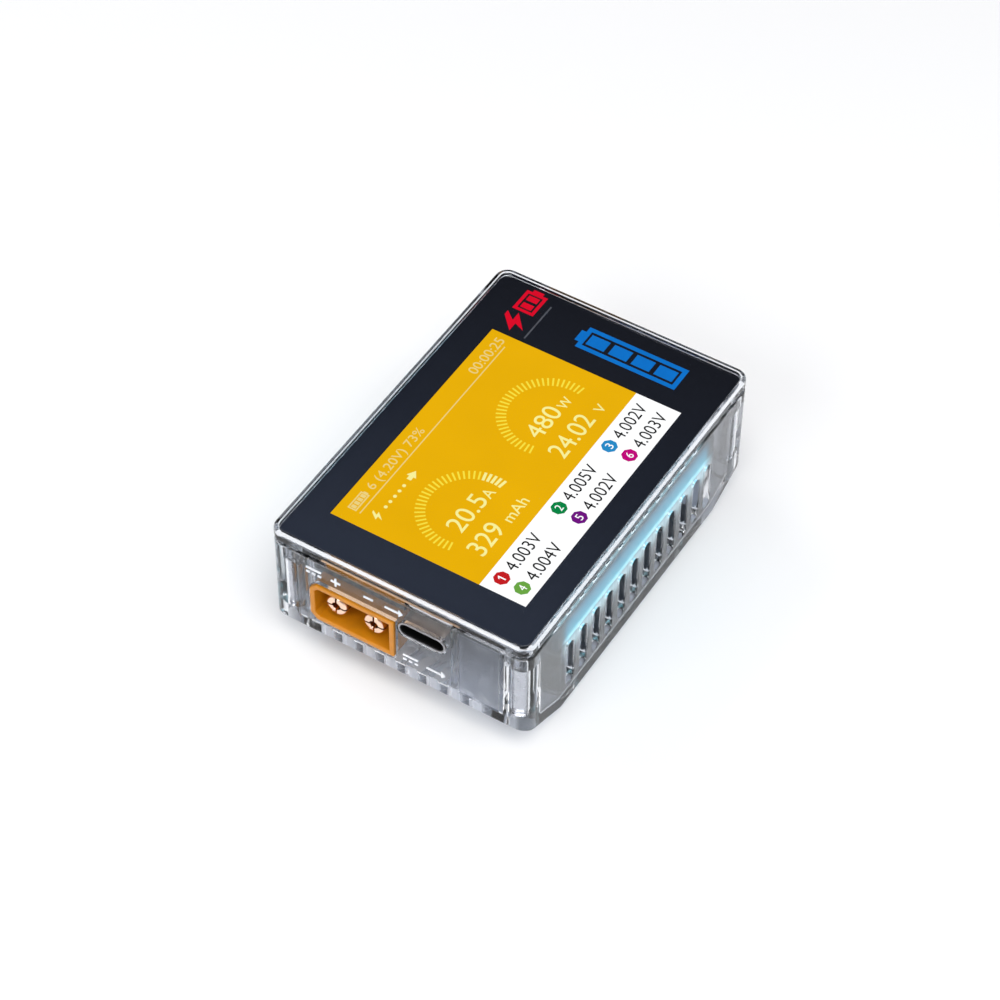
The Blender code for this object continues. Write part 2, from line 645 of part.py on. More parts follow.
def output_socket():
    """The battery outlet: a nylon block with two round sockets in its bores."""
    face = HALF_LENGTH + POWER_SOCKET_PROUD
    back = face - POWER_SOCKET_DEPTH
    outline = power_socket_outline(OUTPUT_SOCKET)
    housing = slab("output_housing", [outline], back, face, ORANGE, across="X")
    inner = POWER_PIN_RADIUS + SMALL_GAP
    for name, side in (("output_contact_positive", 1), ("output_contact_negative", -1)):
        y, z = OUTPUT_SOCKET[0] + side * POWER_PIN_PITCH / 2, OUTPUT_SOCKET[1]
        mouth = face - CONTACT_RECESS
        contact = terminal(housing, name, CONTACT_RADIUS, mouth, back, y, z)
        low, high = (mouth - CONTACT_HOLLOW_DEPTH, y, z), (mouth + BEYOND, y, z)
        combine(contact, rod(name + "_hollow", inner, low, high, sides=20))


def usb_socket():
    """The USB-C inlet: a drawn steel shell and the tongue inside it."""
    face = -HALF_LENGTH + 0.1 * MM
    back = face + USB_DEPTH
    outer = capsule(*around(USB_SOCKET, USB_SIZE), steps=6)
    shell = slab("usb_shell", [outer], face, back, STEEL, across="X")
    inner = capsule(*around(USB_SOCKET, USB_SIZE, -0.32 * MM), steps=6)
    floor = back - 1.0 * MM
    combine(shell, slab("usb_mouth", [inner], face - BEYOND, floor, across="X"))
    (y0, z0), (y1, z1) = around(USB_SOCKET, (6.7 * MM, 0.7 * MM))
    low = (face + 1.4 * MM, y0, z0)
    box("usb_tongue", low, (floor - SMALL_GAP, y1, z1), BLACK_PLASTIC)


def balance_socket():
    """The balance header: a keyed nylon cup with one square pin for each cell tap."""
    face = HALF_LENGTH + 0.1 * MM
    back = face - BALANCE_DEPTH
    outer = rectangle(*around(BALANCE_SOCKET, BALANCE_SIZE))
    housing = slab("balance_housing", [outer], back, face, WHITE_NYLON, across="X")
    wall = 0.8 * MM
    floor = back + 2.2 * MM
    inner = rectangle(*around(BALANCE_SOCKET, BALANCE_SIZE, -wall))
    combine(housing, slab("balance_well", [inner], floor, face + BEYOND, across="X"))
    top = BALANCE_SOCKET[1] + BALANCE_SIZE[1] / 2
    for i, side in enumerate((-1, 1)):
        y = BALANCE_SOCKET[0] + side * 6.2 * MM
        low = (face - 5 * MM, y - 0.9 * MM, top - wall - BEYOND / 2)
        high = (face + BEYOND, y + 0.9 * MM, top + BEYOND)
        combine(housing, box(f"balance_key_{i}", low, high))
    half = 0.32 * MM
    for i in range(BALANCE_PINS):
        y = BALANCE_SOCKET[0] + (i - (BALANCE_PINS - 1) / 2) * BALANCE_PITCH
        z = BALANCE_SOCKET[1] - 0.3 * MM
        gap = half + SMALL_GAP
        low, high = (back - BEYOND, y - gap, z - gap), (floor + BEYOND, y + gap, z + gap)
        combine(housing, box(f"balance_pin_hole_{i + 1}", low, high))
        low = (back - 1.5 * MM, y - half, z - half)
        high = (face - 2.4 * MM, y + half, z + half)
        pin = box(f"balance_pin_{i + 1}", low, high, GOLD)
        high = (back - 1.5 * MM + 2 * half, y + half, UNDER_BOARD)
        join(pin, box(f"balance_tail_{i + 1}", low, high))


def fan():
    """A 30 mm axial fan: frame with motor base, bearing, stator and the rotor on its shaft."""
    square = rounded_rectangle((FAN_SIZE, FAN_SIZE), 2.0 * MM, steps=3)
    holes = [circle(1.35 * MM, (sx * FAN_PEG, sy * FAN_PEG), 12) for sx, sy in CORNERS]
    bore = circle(FAN_BORE_RADIUS, sides=36)
    frame = slab("fan_frame", [square, bore, *holes], *FAN, BLACK_PLASTIC)
    base = slab("fan_base", [circle(FAN_BASE_RADIUS)], FAN_BASE, FAN[1])
    for i in range(3):
        angle = 2 * math.pi * i / 3 + math.radians(20)
        out = Vector((math.cos(angle), math.sin(angle), 0))
        side = Vector((-out.y, out.x, 0)) * 0.9 * MM
        near, far = out * (FAN_BASE_RADIUS - 1 * MM), out * (FAN_BORE_RADIUS + 0.5 * MM)
        corners = [near - side, far - side, far + side, near + side]
        strut = [(corner.x, corner.y) for corner in corners]
        join(base, slab(f"fan_strut_{i}", [strut], FAN_BASE + 0.1 * MM, FAN[1] - 0.1 * MM))
    tube_low, tube_high = 4.6 * MM, FAN_BASE + 0.2 * MM
    tube, bearing = 2.2 * MM, 1.6 * MM
    join(base, slab("fan_tube", [circle(tube), circle(bearing + SMALL_GAP)], tube_low, tube_high))
    join(frame, base)

    running = SHAFT_RADIUS + 0.05 * MM
    rings = [circle(bearing, sides=16), circle(running, sides=16)]
    slab("fan_bearing", rings, tube_low, FAN_BASE - SMALL_GAP, COPPER)
    rings = [circle(5.6 * MM), circle(tube + SMALL_GAP)]
    slab("fan_stator", rings, 5.0 * MM, FAN_BASE - SMALL_GAP, COPPER)

    hub = rod("fan_rotor", HUB_RADIUS, (0, 0, HUB[0]), (0, 0, HUB[1]), BLACK_PLASTIC, sides=28)
    for i in range(BLADES):
        length = BLADE_TIP - (HUB_RADIUS - 0.7 * MM)
        blade = box(f"fan_blade_{i}", (0, -3.0 * MM, -0.35 * MM), (length, 3.0 * MM, 0.35 * MM))
        angle = 2 * math.pi * i / BLADES
        middle = HUB_RADIUS - 0.7 * MM + length / 2
        blade.location = (
            middle * math.cos(angle),
            middle * math.sin(angle),
            (HUB[0] + HUB[1]) / 2,
        )
        blade.rotation_euler = (BLADE_TILT, 0, angle)
        join(hub, blade)
    hollow = (HUB_RADIUS - 0.8 * MM, HUB[0] + 0.9 * MM)
    combine(hub, rod("hub_hollow", hollow[0], (0, 0, hollow[1]), (0, 0, FAN_BASE), sides=28))
    low = (0, 0, hollow[1] + SMALL_GAP)
    rod("fan_shaft", SHAFT_RADIUS, low, (0, 0, FAN_BASE - 0.2 * MM), STEEL, sides=16)
    fan_lead()


def fan_lead():
    """The fan's lead, from the frame's side up to its plug under the main board."""
    plug_low = 13.9 * MM
    x, y = 18.5 * MM, -6.0 * MM
    low, high = (x - 2 * MM, y - 2.5 * MM, plug_low), (x + 2 * MM, y + 2.5 * MM, UNDER_BOARD)
    box("fan_plug", low, high, WHITE_NYLON)
    radius, start = 0.7 * MM, FAN_SIZE / 2 + JOINT_GAP
    ends = [Vector((start, y, 7 * MM)), Vector((x, y, plug_low - JOINT_GAP))]
    pulls = [Vector((4 * MM, 0, 0)), Vector((0, 0, -4 * MM))]
    points = []
    for i in range(9):
        t = i / 8
        a, b = ends[0], ends[0] + pulls[0]
        c, d = ends[1] + pulls[1], ends[1]
        weights = ((1 - t) ** 3, 3 * t * (1 - t) ** 2, 3 * t * t * (1 - t), t**3)
        points.append(a * weights[0] + b * weights[1] + c * weights[2] + d * weights[3])
    curve = bpy.data.curves.new("fan_lead", "CURVE")
    curve.dimensions = "3D"
    curve.bevel_depth = radius
    curve.bevel_resolution = 2
    curve.use_fill_caps = True
    spline = curve.splines.new("POLY")
    spline.points.add(len(points) - 1)
    for point, place in zip(spline.points, points):
        point.co = (*place, 1.0)
    curve.materials.append(RUBBER)
    PARTS.objects.link(bpy.data.objects.new("fan_lead", curve))


def light_bars():
    """A frosted bar behind the upper half of each long wall, with a strip of lamps shining into it."""
    bar_levels = (14.6 * MM, 19.9 * MM)
    strip_levels = (15.9 * MM, 19.9 * MM)
    half = 25.0 * MM
    lamps, lamp_pitch, lamp_half = 6, 2 * VENT_PITCH, 1.4 * MM
    for name, side in (("front", -1), ("rear", 1)):
        inner, outer = side * 21.2 * MM, side * 22.4 * MM
        low = (-half, min(inner, outer), bar_levels[0])
        high = (half, max(inner, outer), bar_levels[1])
        box(f"light_bar_{name}", low, high, LIGHT_GUIDE)
        back, front, lamp_front = (side * y * MM for y in (19.9, 20.5, 21.0))
        outline = [(half, front), (half, back), (-half, back), (-half, front)]
        for i in range(lamps):
            x = (i - (lamps - 1) / 2) * lamp_pitch
            outline += [(x - lamp_half, front), (x - lamp_half, lamp_front)]
            outline += [(x + lamp_half, lamp_front), (x + lamp_half, front)]
        slab(f"lamp_strip_{name}", [outline], *strip_levels, WHITE_NYLON)


def screw(name, x, y, seat, end, radius, head_radius, head_height):
    """A pan-head screw whose head rests on seat, with a cross cut in it."""
    away = -1 if end > seat else 1
    top = seat + away * head_height
    head = rod(name, head_radius, (x, y, seat), (x, y, top), STEEL, 20, head_radius * 0.8)
    join(head, rod(name + "_shank", radius, (x, y, seat + away * 0.3 * MM), (x, y, end), sides=12))
    arm, half = head_radius * 0.55, 0.25 * MM
    low, high = sorted((top - away * 0.7 * MM, top + away * BEYOND))
    combine(head, box(name + "_cross_x", (x - arm, y - half, low), (x + arm, y + half, high)))
    combine(head, box(name + "_cross_y", (x - half, y - arm, low), (x + half, y + arm, high)))


def fasteners():
    """Four long screws that close the case from below, and two that hold the main board."""
    for i, (sx, sy) in enumerate(CORNERS):
        x, y = sx * POST[0], sy * POST[1]
        seat, end = SCREW_SEAT - SMALL_GAP, PARTING - 0.6 * MM
        screw(f"case_screw_{i + 1}", x, y, seat, end, CASE_SCREW_RADIUS, 1.75 * MM, 1.4 * MM)
    for i, side in enumerate((-1, 1)):
        x, y = side * STANDOFF[0], side * STANDOFF[1]
        seat, end = MAIN_BOARD[1] + SMALL_GAP, 12.2 * MM
        screw(f"board_screw_{i + 1}", x, y, seat, end, BOARD_SCREW_RADIUS, 1.7 * MM, 1.1 * MM)


def feet():
    """Round rubber pads, set into the underside at the ends of its flat."""
    for i, (sx, sy) in enumerate(CORNERS):
        x, y = sx * FOOT[0], sy * FOOT[1]
        rod(f"foot_{i + 1}", FOOT_RADIUS, (x, y, 0), (x, y, FOOT_TOP), RUBBER)


lower_shell()
bezel_frame()
display_stack()
main_board()
power_electronics()
input_socket()
output_socket()
usb_socket()
balance_socket()
fan()
light_bars()
fasteners()
feet()
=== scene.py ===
"""The looks of a balance battery charger in a clear case, round its CAD frame. Metres, +Z up."""

import json
import math
import random

import bmesh
import bpy
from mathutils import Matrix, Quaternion, Vector


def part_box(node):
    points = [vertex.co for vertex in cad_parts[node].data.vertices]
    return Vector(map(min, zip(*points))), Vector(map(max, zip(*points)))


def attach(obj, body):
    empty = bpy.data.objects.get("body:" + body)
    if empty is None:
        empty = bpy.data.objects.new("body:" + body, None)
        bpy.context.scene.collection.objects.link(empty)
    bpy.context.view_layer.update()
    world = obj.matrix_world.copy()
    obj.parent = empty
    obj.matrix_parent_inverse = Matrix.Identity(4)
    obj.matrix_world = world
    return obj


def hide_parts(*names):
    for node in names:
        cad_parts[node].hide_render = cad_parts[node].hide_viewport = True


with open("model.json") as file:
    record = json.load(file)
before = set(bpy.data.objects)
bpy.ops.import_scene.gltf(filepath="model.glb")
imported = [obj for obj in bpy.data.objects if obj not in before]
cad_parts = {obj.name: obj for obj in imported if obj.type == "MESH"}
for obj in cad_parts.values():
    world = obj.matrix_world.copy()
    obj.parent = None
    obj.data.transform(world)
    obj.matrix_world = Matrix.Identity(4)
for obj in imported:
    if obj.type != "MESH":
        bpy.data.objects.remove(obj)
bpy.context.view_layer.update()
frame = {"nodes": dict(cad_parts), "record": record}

NODES = frame["nodes"]
MM = 0.001
QUARTER = math.pi / 2
BEYOND = 2 * MM  # how far a cutter runs past the face it cuts
CORNERS = [(x, y) for x in (-1, 1) for y in (-1, 1)]

# Sizes that the frame gives
SHELL_LOW, SHELL_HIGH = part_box("lower_shell")
BEZEL_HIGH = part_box("bezel_frame")[1]
GLASS_LOW, GLASS_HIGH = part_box("touch_glass")
CELL_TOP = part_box("lcd_cell")[1].z
BOARD_LOW, BOARD_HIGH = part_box("main_board")
INPUT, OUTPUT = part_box("input_housing"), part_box("output_housing")
USB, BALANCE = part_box("usb_shell"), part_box("balance_housing")
LENGTH, WIDTH = SHELL_HIGH.x - SHELL_LOW.x, SHELL_HIGH.y - SHELL_LOW.y
HALF_LENGTH, HALF_WIDTH = LENGTH / 2, WIDTH / 2
UNDERSIDE, SHELL_TOP, HEIGHT = SHELL_LOW.z, SHELL_HIGH.z, BEZEL_HIGH.z

# Sizes of the case that the design sets
PARTING = SHELL_TOP + 0.3 * MM
WALL = 1.6 * MM
FLOOR_THICKNESS = 1.5 * MM
CORNER_RADIUS = 2.4 * MM
END_RISE = 4.4 * MM
SLOPE_RUN = 10.5 * MM
VENT_PITCH = 4.05 * MM
VENT_WIDTH = 2.0 * MM
SIDE_VENTS = 12
SIDE_VENT_LEVELS = (4.8 * MM, 14.9 * MM)
END_VENTS = 8
END_VENT_WIDTH = 3.0 * MM
GRILLE_RADIUS = 13.2 * MM
GRILLE_SLOTS = 7
POST = (32.4 * MM, 21.2 * MM)
POST_RADIUS = 2.4 * MM
POST_TOP = 19.0 * MM
SCREW_SEAT = 8.0 * MM
STANDOFF = (17.3 * MM, 17.6 * MM)
FOOT = (20.5 * MM, 19.4 * MM)
FAN_PEG = 12.0 * MM
END_RIBS = (17.6 * MM, -10.0 * MM)
LABEL_RECESS = ((-19.0 * MM, 7.6 * MM), (-11.4 * MM, 22.6 * MM))
GLASS_RADIUS = 1.5 * MM

FILM = 0.02 * MM  # thickness of a printed or lit layer


# ---- outlines


def rounded_rectangle(size, radius, middle=(0, 0), steps=6):
    """A rectangle's outline with its corners as arcs."""
    points = []
    for corner, (sx, sy) in enumerate([(1, 1), (-1, 1), (-1, -1), (1, -1)]):
        cx = middle[0] + sx * (size[0] / 2 - radius)
        cy = middle[1] + sy * (size[1] / 2 - radius)
        for step in range(steps + 1):
            angle = QUARTER * (corner + step / steps)
            points.append((cx + radius * math.cos(angle), cy + radius * math.sin(angle)))
    return points


def rectangle(low, high, grow=0.0):
    return [
        (low[0] - grow, low[1] - grow),
        (high[0] + grow, low[1] - grow),
        (high[0] + grow, high[1] + grow),
        (low[0] - grow, high[1] + grow),
    ]


def circle(radius, middle=(0, 0), sides=32, start=0.0):
    angles = [start + 2 * math.pi * i / sides for i in range(sides)]
    return [(middle[0] + radius * math.cos(a), middle[1] + radius * math.sin(a)) for a in angles]


def capsule(low, high, grow=0.0, steps=7):
    """The outline of a slot with round ends, filling the rectangle between two corners."""
    size = (high[0] - low[0] + 2 * grow, high[1] - low[1] + 2 * grow)
    middle = ((low[0] + high[0]) / 2, (low[1] + high[1]) / 2)
    radius = min(size) / 2
    reach = max(size) / 2 - radius
    points = []
    for end in (1, -1):
        for step in range(steps + 1):
            angle = math.pi * (step / steps) - QUARTER
            out, side = end * (reach + radius * math.cos(angle)), end * radius * math.sin(angle)
            offset = (out, side) if size[0] > size[1] else (-side, out)
            points.append((middle[0] + offset[0], middle[1] + offset[1]))
    return points


def power_outline(low, high, grow=0.0):
    """A power socket's outline between two corners: a rectangle whose two +Y corners are cut."""
    y0, z0, y1, z1 = low[0] - grow, low[1] - grow, high[0] + grow, high[1] + grow
    cut = 1.3 * MM + grow * 0.6
    return [(y0, z0), (y1 - cut, z0), (y1, z0 + cut), (y1, z1 - cut), (y1 - cut, z1), (y0, z1)]


def disc(radius, middle=(0, 0), sides=32):
    """A round shape, which grows by what a level asks for."""
    return lambda grow: circle(radius + grow, middle, sides)


def sized(outline, low, high, more=0.0):
    """A shape between two corners, which grows by what a level asks for and more."""
    return lambda grow: outline(low, high, grow + more)


def end_face(box):
    """The (y, z) places of a box's two corners."""
    return tuple((corner.y, corner.z) for corner in box)


# ---- mesh building


def finish_mesh(work, name):
    bmesh.ops.recalc_face_normals(work, faces=work.faces)
    mesh = bpy.data.meshes.new(name)
    work.to_mesh(mesh)
    work.free()
    return mesh


def new_object(name, data, material=None):
    obj = bpy.data.objects.new(name, data)
    bpy.context.scene.collection.objects.link(obj)
    if material is not None:
        data.materials.append(material)
    return obj


def lift(point, depth, across):
    """An outline's point at a depth: (x, y) across Z, (x, z) across Y and (y, z) across X."""
    u, v = point
    return {"X": (depth, u, v), "Y": (u, depth, v), "Z": (u, v, depth)}[across]


def bars(name, shapes, levels, across="Z", material=None):
    """Closed bars along one axis, one for each shape: an outline, or a function that gives one grown
    by a distance. Levels pair each depth with that distance."""
    work = bmesh.new()
    for shape in shapes:
        rings = []
        for depth, grow in levels:
            outline = shape(grow) if callable(shape) else shape
            rings.append([work.verts.new(lift(point, depth, across)) for point in outline])
        for low, high in zip(rings, rings[1:]):
            for i, vert in enumerate(low):
                j = (i + 1) % len(low)
                work.faces.new((vert, low[j], high[j], high[i]))
        work.faces.new(rings[0])
        work.faces.new(rings[-1])
    return new_object(name, finish_mesh(work, name), material)


def plain(low, high):
    """Levels of a bar with square ends."""
    return [(low, 0.0), (high, 0.0)]


def rounded(low, high, radius, steps=3):
    """Levels of a bar whose ends are rounded over."""
    angles = [QUARTER * i / steps for i in range(steps + 1)]
    edge = [(radius * (1 - math.sin(a)), -radius * (1 - math.cos(a))) for a in angles]
    return [(low + d, g) for d, g in reversed(edge)] + [(high - d, g) for d, g in edge]


def flared(mouth, inner, radius, steps=3):
    """Levels of a cutter that leaves a rounded edge round the opening that it makes at mouth."""
    way = 1 if inner > mouth else -1
    levels = [(mouth - way * BEYOND, radius)]
    for i in range(steps + 1):
        a = QUARTER * i / steps
        levels.append((mouth + way * radius * (1 - math.cos(a)), radius * (1 - math.sin(a))))
    return levels + [(inner, 0.0)]


def modify(target, name, kind, **values):
    modifier = target.modifiers.new(name, kind)
    for key, value in values.items():
        setattr(modifier, key, value)
    return target


def combine(target, other, operation="DIFFERENCE"):
    other.hide_render = True
    mode = "TRANSFER" if other.data.materials else "INDEX"
    return modify(target, other.name, "BOOLEAN", operation=operation, object=other, material_mode=mode)


def bevel(target, width, segments=3, angle=35):
    limit = {"limit_method": "ANGLE", "angle_limit": math.radians(angle), "use_clamp_overlap": True}
    return modify(target, "edges", "BEVEL", width=width, segments=segments, **limit)


def smooth(target, angle=35, weight=90):
    """Smooth faces with sharp edges, and normals that keep the flat faces flat."""
    target.data.shade_smooth()
    target.data.set_sharp_from_angle(angle=math.radians(angle))
    return modify(target, "normals", "WEIGHTED_NORMAL", weight=weight, keep_sharp=True)


def settle(target, angle=35):
    """Applies the modifiers, removes the helpers that they used, and shades the result."""
    helpers = {m.object for m in target.modifiers if m.type == "BOOLEAN"}
    graph = bpy.context.evaluated_depsgraph_get()
    mesh = bpy.data.meshes.new_from_object(target.evaluated_get(graph))
    mesh.name = target.name
    target.modifiers.clear()
    target.data = mesh
    for helper in helpers:
        bpy.data.objects.remove(helper)
    return smooth(target, angle)


def stands_for(piece, node, body="charger"):
    """The piece is the finished look of a CAD node: it rides with the body, and the node is hidden."""
    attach(piece, body)
    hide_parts(node)
    return piece


def detail(piece, body="charger"):
    """The piece is a detail that the CAD model doesn't have."""
    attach(piece, body)
    return piece


# ---- materials

NOISE_RANGE = (0.3, 0.7)  # between which most of a noise's values lie
PLASTIC_SHADE, GLASS_SHADE = (0.72, 0.74, 0.78), (0.95, 0.95, 0.95)
BLACK, WHITE = (0.0, 0.0, 0.0), (1.0, 1.0, 1.0)
SLOT_OF = {s["node"]: s["material_slot"] for s in frame["record"]["subparts"]}


def set_stops(ramp, stops):
    elements = ramp.color_ramp.elements
    while len(elements) < len(stops):
        elements.new(0.5)
    for element, (position, colour) in zip(elements, stops):
        element.position = position
        element.color = (*colour, 1.0)


class Finish:
    """A node material: mottled colour, uneven roughness and a fine grain, all from noise in object space."""

    def __init__(self, name):
        self.material = bpy.data.materials.new(name)
        self.material.use_nodes = True
        self.tree = self.material.node_tree
        self.shader = self.tree.nodes["Principled BSDF"]
        self.place = self.node("ShaderNodeTexCoord").outputs["Object"]

    def node(self, kind, sockets=None, **values):
        made = self.tree.nodes.new(kind)
        for key, value in values.items():
            setattr(made, key, value)
        for key, value in (sockets or {}).items():
            made.inputs[key].default_value = value
        return made

    def link(self, source, target):
        self.tree.links.new(source, target)

    def feed(self, socket, source):
        """Links a source to one of the shader's own sockets."""
        self.link(source, self.shader.inputs[socket])
        return self

    def noise(self, size, detail_level=3.0):
        """Noise whose patches are about size across."""
        noise = self.node("ShaderNodeTexNoise", {"Scale": 1 / size, "Detail": detail_level})
        self.link(self.place, noise.inputs["Vector"])
        return noise.outputs["Fac"]

    def ramp(self, source, stops, interpolation="LINEAR"):
        ramp = self.node("ShaderNodeValToRGB")
        ramp.color_ramp.interpolation = interpolation
        set_stops(ramp, stops)
        self.link(source, ramp.inputs["Fac"])
        return ramp.outputs["Color"]

    def between(self, noise, dark, light):
        """One colour where a noise is low and another where it is high."""
        return self.ramp(noise, list(zip(NOISE_RANGE, (dark, light))))

    def mapped(self, source, start, end, low=0.0, high=1.0):
        """A value between start and end, mapped to between low and high."""
        sockets = {"From Min": start, "From Max": end, "To Min": low, "To Max": high}
        node = self.node("ShaderNodeMapRange", sockets)
        self.link(source, node.inputs["Value"])
        return node.outputs["Result"]

    def colour(self, colour, size, change):
        """Mottles the colour by a share of itself, in patches of a size."""
        dark = tuple(c * (1 - change) for c in colour)
        light = tuple(min(1.0, c * (1 + change)) for c in colour)
        return self.feed("Base Color", self.between(self.noise(size), dark, light))

    def roughness(self, value, size=0.6 * MM, change=0.2):
        low, high = value * (1 - change), min(1.0, value * (1 + change))
        return self.feed("Roughness", self.mapped(self.noise(size, 4.0), *NOISE_RANGE, low, high))

    def grain(self, size, depth):
        """A fine relief, depth deep, on top of the mesh."""
        bump = self.node("ShaderNodeBump", {"Strength": 1.0, "Distance": depth})
        self.link(self.noise(size, 2.0), bump.inputs["Height"])
        return self.feed("Normal", bump.outputs["Normal"])

    def along(self, axis, low, high):
        """0 to 1 between two places along an axis."""
        parts = self.node("ShaderNodeSeparateXYZ")
        self.link(self.place, parts.inputs["Vector"])
        return self.mapped(parts.outputs[axis], low, high)

    def product(self, first, *others):
        """Colours multiplied together."""
        for other in others:
            both = self.node("ShaderNodeMix", {"Factor": 1.0}, data_type="RGBA", blend_type="MULTIPLY")
            self.link(first, both.inputs["A"])
            self.link(other, both.inputs["B"])
            first = both.outputs["Result"]
        return first

    def let_light_through(self, clarity=1.0, shade=PLASTIC_SHADE):
        """Makes it clear. Lamps and daylight reach what is behind it, dimmed by shade."""
        self.set(Transmission_Weight=clarity, IOR=1.36)
        path = self.node("ShaderNodeLightPath")
        either = self.node("ShaderNodeMath", operation="MAXIMUM")
        self.link(path.outputs["Is Shadow Ray"], either.inputs[0])
        self.link(path.outputs["Is Diffuse Ray"], either.inputs[1])
        through = self.node("ShaderNodeBsdfTransparent", {"Color": (*shade, 1.0)})
        mix = self.node("ShaderNodeMixShader")
        self.link(either.outputs[0], mix.inputs["Fac"])
        self.link(self.shader.outputs["BSDF"], mix.inputs[1])
        self.link(through.outputs["BSDF"], mix.inputs[2])
        self.link(mix.outputs["Shader"], self.tree.nodes["Material Output"].inputs["Surface"])
        return self

    def set(self, **values):
        for key, value in values.items():
            self.shader.inputs[key.replace("_", " ")].default_value = value
        return self


def solid_finish(name, colour, roughness, metallic=0.0, patch=2 * MM, change=0.08, grain=None, **values):
    finish = Finish(name).colour(colour, patch, change).roughness(roughness)
    finish.set(Metallic=metallic, **values)
    if grain:
        finish.grain(*grain)
    return finish.material


def clear_finish(name, tint, roughness, grain_size, grain_depth, clarity=1.0, shade=PLASTIC_SHADE):
    """Clear plastic or glass, which lets light through to what is inside it."""
    finish = Finish(name).colour(tint, 9 * MM, 0.02).roughness(roughness, 1.5 * MM, 0.35)
    finish.grain(grain_size, grain_depth).let_light_through(clarity, shade)
    return finish.material


def painted_light_frosted_finish():
    """The case's textured inside: painted shade darkens the long walls, and a painted glow, as from the
    light bars, spills over them.
    """
    finish = Finish("frosted_plastic_painted_light").roughness(0.12, 1.5 * MM, 0.35).grain(1.2 * MM, 0.008 * MM)
    across = finish.along("Y", -HALF_WIDTH, HALF_WIDTH)
    # painted shade: the inside of both long walls is tinted far darker than the rest
    tint = finish.ramp(across, by_walls((0.125, 0.14, 0.16), (0.68, 0.71, 0.76)))
    finish.feed("Base Color", tint)
    # painted glow: cyan emission on the long walls, fading at top, bottom and both ends, for the light bars'
    # spill
    levels = [(0.0, BLACK), (0.35, (0.06, 0.07, 0.08)), (0.72, (0.38, 0.56, 0.62))]
    levels += [(0.85, (0.20, 0.38, 0.45)), (1.0, BLACK)]
    ends = [(0.0, BLACK), (0.06, WHITE), (0.94, WHITE), (1.0, BLACK)]
    glow = finish.product(
        finish.ramp(finish.along("Z", 7 * MM, 17 * MM), levels, "EASE"),
        finish.ramp(across, by_walls(WHITE, BLACK)),
        finish.ramp(finish.along("X", -25 * MM, 25 * MM), ends, "EASE"),
    )
    finish.feed("Emission Color", glow)
    finish.set(Emission_Strength=1.0).let_light_through()
    return finish.material


def by_walls(at_walls, between):
    """Colour stops across the case: one colour on the inside of both long walls, another between them."""
    colours = (at_walls, at_walls, between, between, at_walls, at_walls)
    return list(zip((0.0, 0.045, 0.055, 0.945, 0.955, 1.0), colours))


def lit_finish(name, colour, strength, change=0.02):
    """A lit layer of the display: faintly uneven, as a backlight is."""
    finish = Finish(name)
    finish.set(Base_Color=(0.0, 0.0, 0.0, 1.0), Emission_Strength=strength, Specular_IOR_Level=0.0)
    finish.roughness(0.5)
    dark = tuple(c * (1 - change) for c in colour)
    glow = finish.between(finish.noise(12 * MM, 1.0), dark, colour)
    finish.feed("Emission Color", glow)
    return finish.material


def glow_finish():
    """The lit light bars: pale cyan low down, cyan in the middle, and dark at the top and at both ends."""
    finish = Finish("light_guide")
    finish.colour((0.02, 0.10, 0.14), 3 * MM, 0.05).roughness(0.5)
    low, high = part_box("light_bar_front")
    stops = [
        (0.0, (0.42, 0.90, 1.00)),
        (0.15, (0.16, 0.74, 0.88)),
        (0.35, (0.0, 0.50, 0.70)),
        (0.75, (0.0, 0.26, 0.42)),
        (1.0, (0.0, 0.03, 0.06)),
    ]
    level_glow = finish.ramp(finish.along("Z", low.z, high.z), stops)
    ends = [(0.0, BLACK), (0.02, BLACK), (0.07, WHITE), (0.93, WHITE), (0.98, BLACK), (1.0, BLACK)]
    end_fade = finish.ramp(finish.along("X", low.x, high.x), ends, "EASE")
    finish.feed("Emission Color", finish.product(level_glow, end_fade))
    finish.set(Emission_Strength=2.0, Specular_IOR_Level=0.1)
    return finish.material


def painted_reflection_print_finish():
    """Blue-black print with a painted reflection: a little paler towards the supply end."""
    finish = Finish("black_print_painted_reflection").roughness(0.5).set(Specular_IOR_Level=0.0)
    # painted reflection: the print runs from paler at the supply end to darker at the far end
    stops = [(0.0, (0.024, 0.030, 0.046)), (0.5, (0.013, 0.016, 0.025)), (1.0, (0.007, 0.008, 0.012))]
    shade = finish.ramp(finish.along("X", -HALF_LENGTH, HALF_LENGTH), stops)
    finish.feed("Base Color", shade)
    return finish.material


def board_finish():
    """Blue-black solder mask over faint copper tracks."""
    finish = Finish("circuit_board")
    tracks = finish.node("ShaderNodeTexBrick", {
        "Scale": 1 / (4 * MM),
        "Mortar Size": 0.035,
        "Color1": (0.006, 0.020, 0.034, 1),
        "Color2": (0.010, 0.030, 0.045, 1),
        "Mortar": (0.05, 0.08, 0.08, 1),
    })
    finish.link(finish.place, tracks.inputs["Vector"])
    finish.feed("Base Color", tracks.outputs["Color"])
    finish.roughness(0.35).grain(0.8 * MM, 0.01 * MM)
    return finish.material


CLEAR = clear_finish("clear_plastic", (0.91, 0.93, 0.965), 0.05, 4 * MM, 0.006 * MM)
# the case's textured inside, with painted shade on the long walls and a painted glow over them
FROSTED_PAINTED_LIGHT = painted_light_frosted_finish()
HAZY = clear_finish("hazy_plastic", (0.90, 0.92, 0.97), 0.4, 0.8 * MM, 0.01 * MM, 0.6)
# the label recess's textured plastic, tinted grey as painted shade in the recess
TEXTURED_PAINTED_SHADE = clear_finish("textured_plastic_painted_shade", (0.58, 0.61, 0.67), 0.5, 0.3 * MM, 0.02 * MM)
COVER_GLASS = clear_finish("cover_glass", (0.96, 0.97, 0.98), 0.015, 12 * MM, 0.002 * MM, shade=GLASS_SHADE)
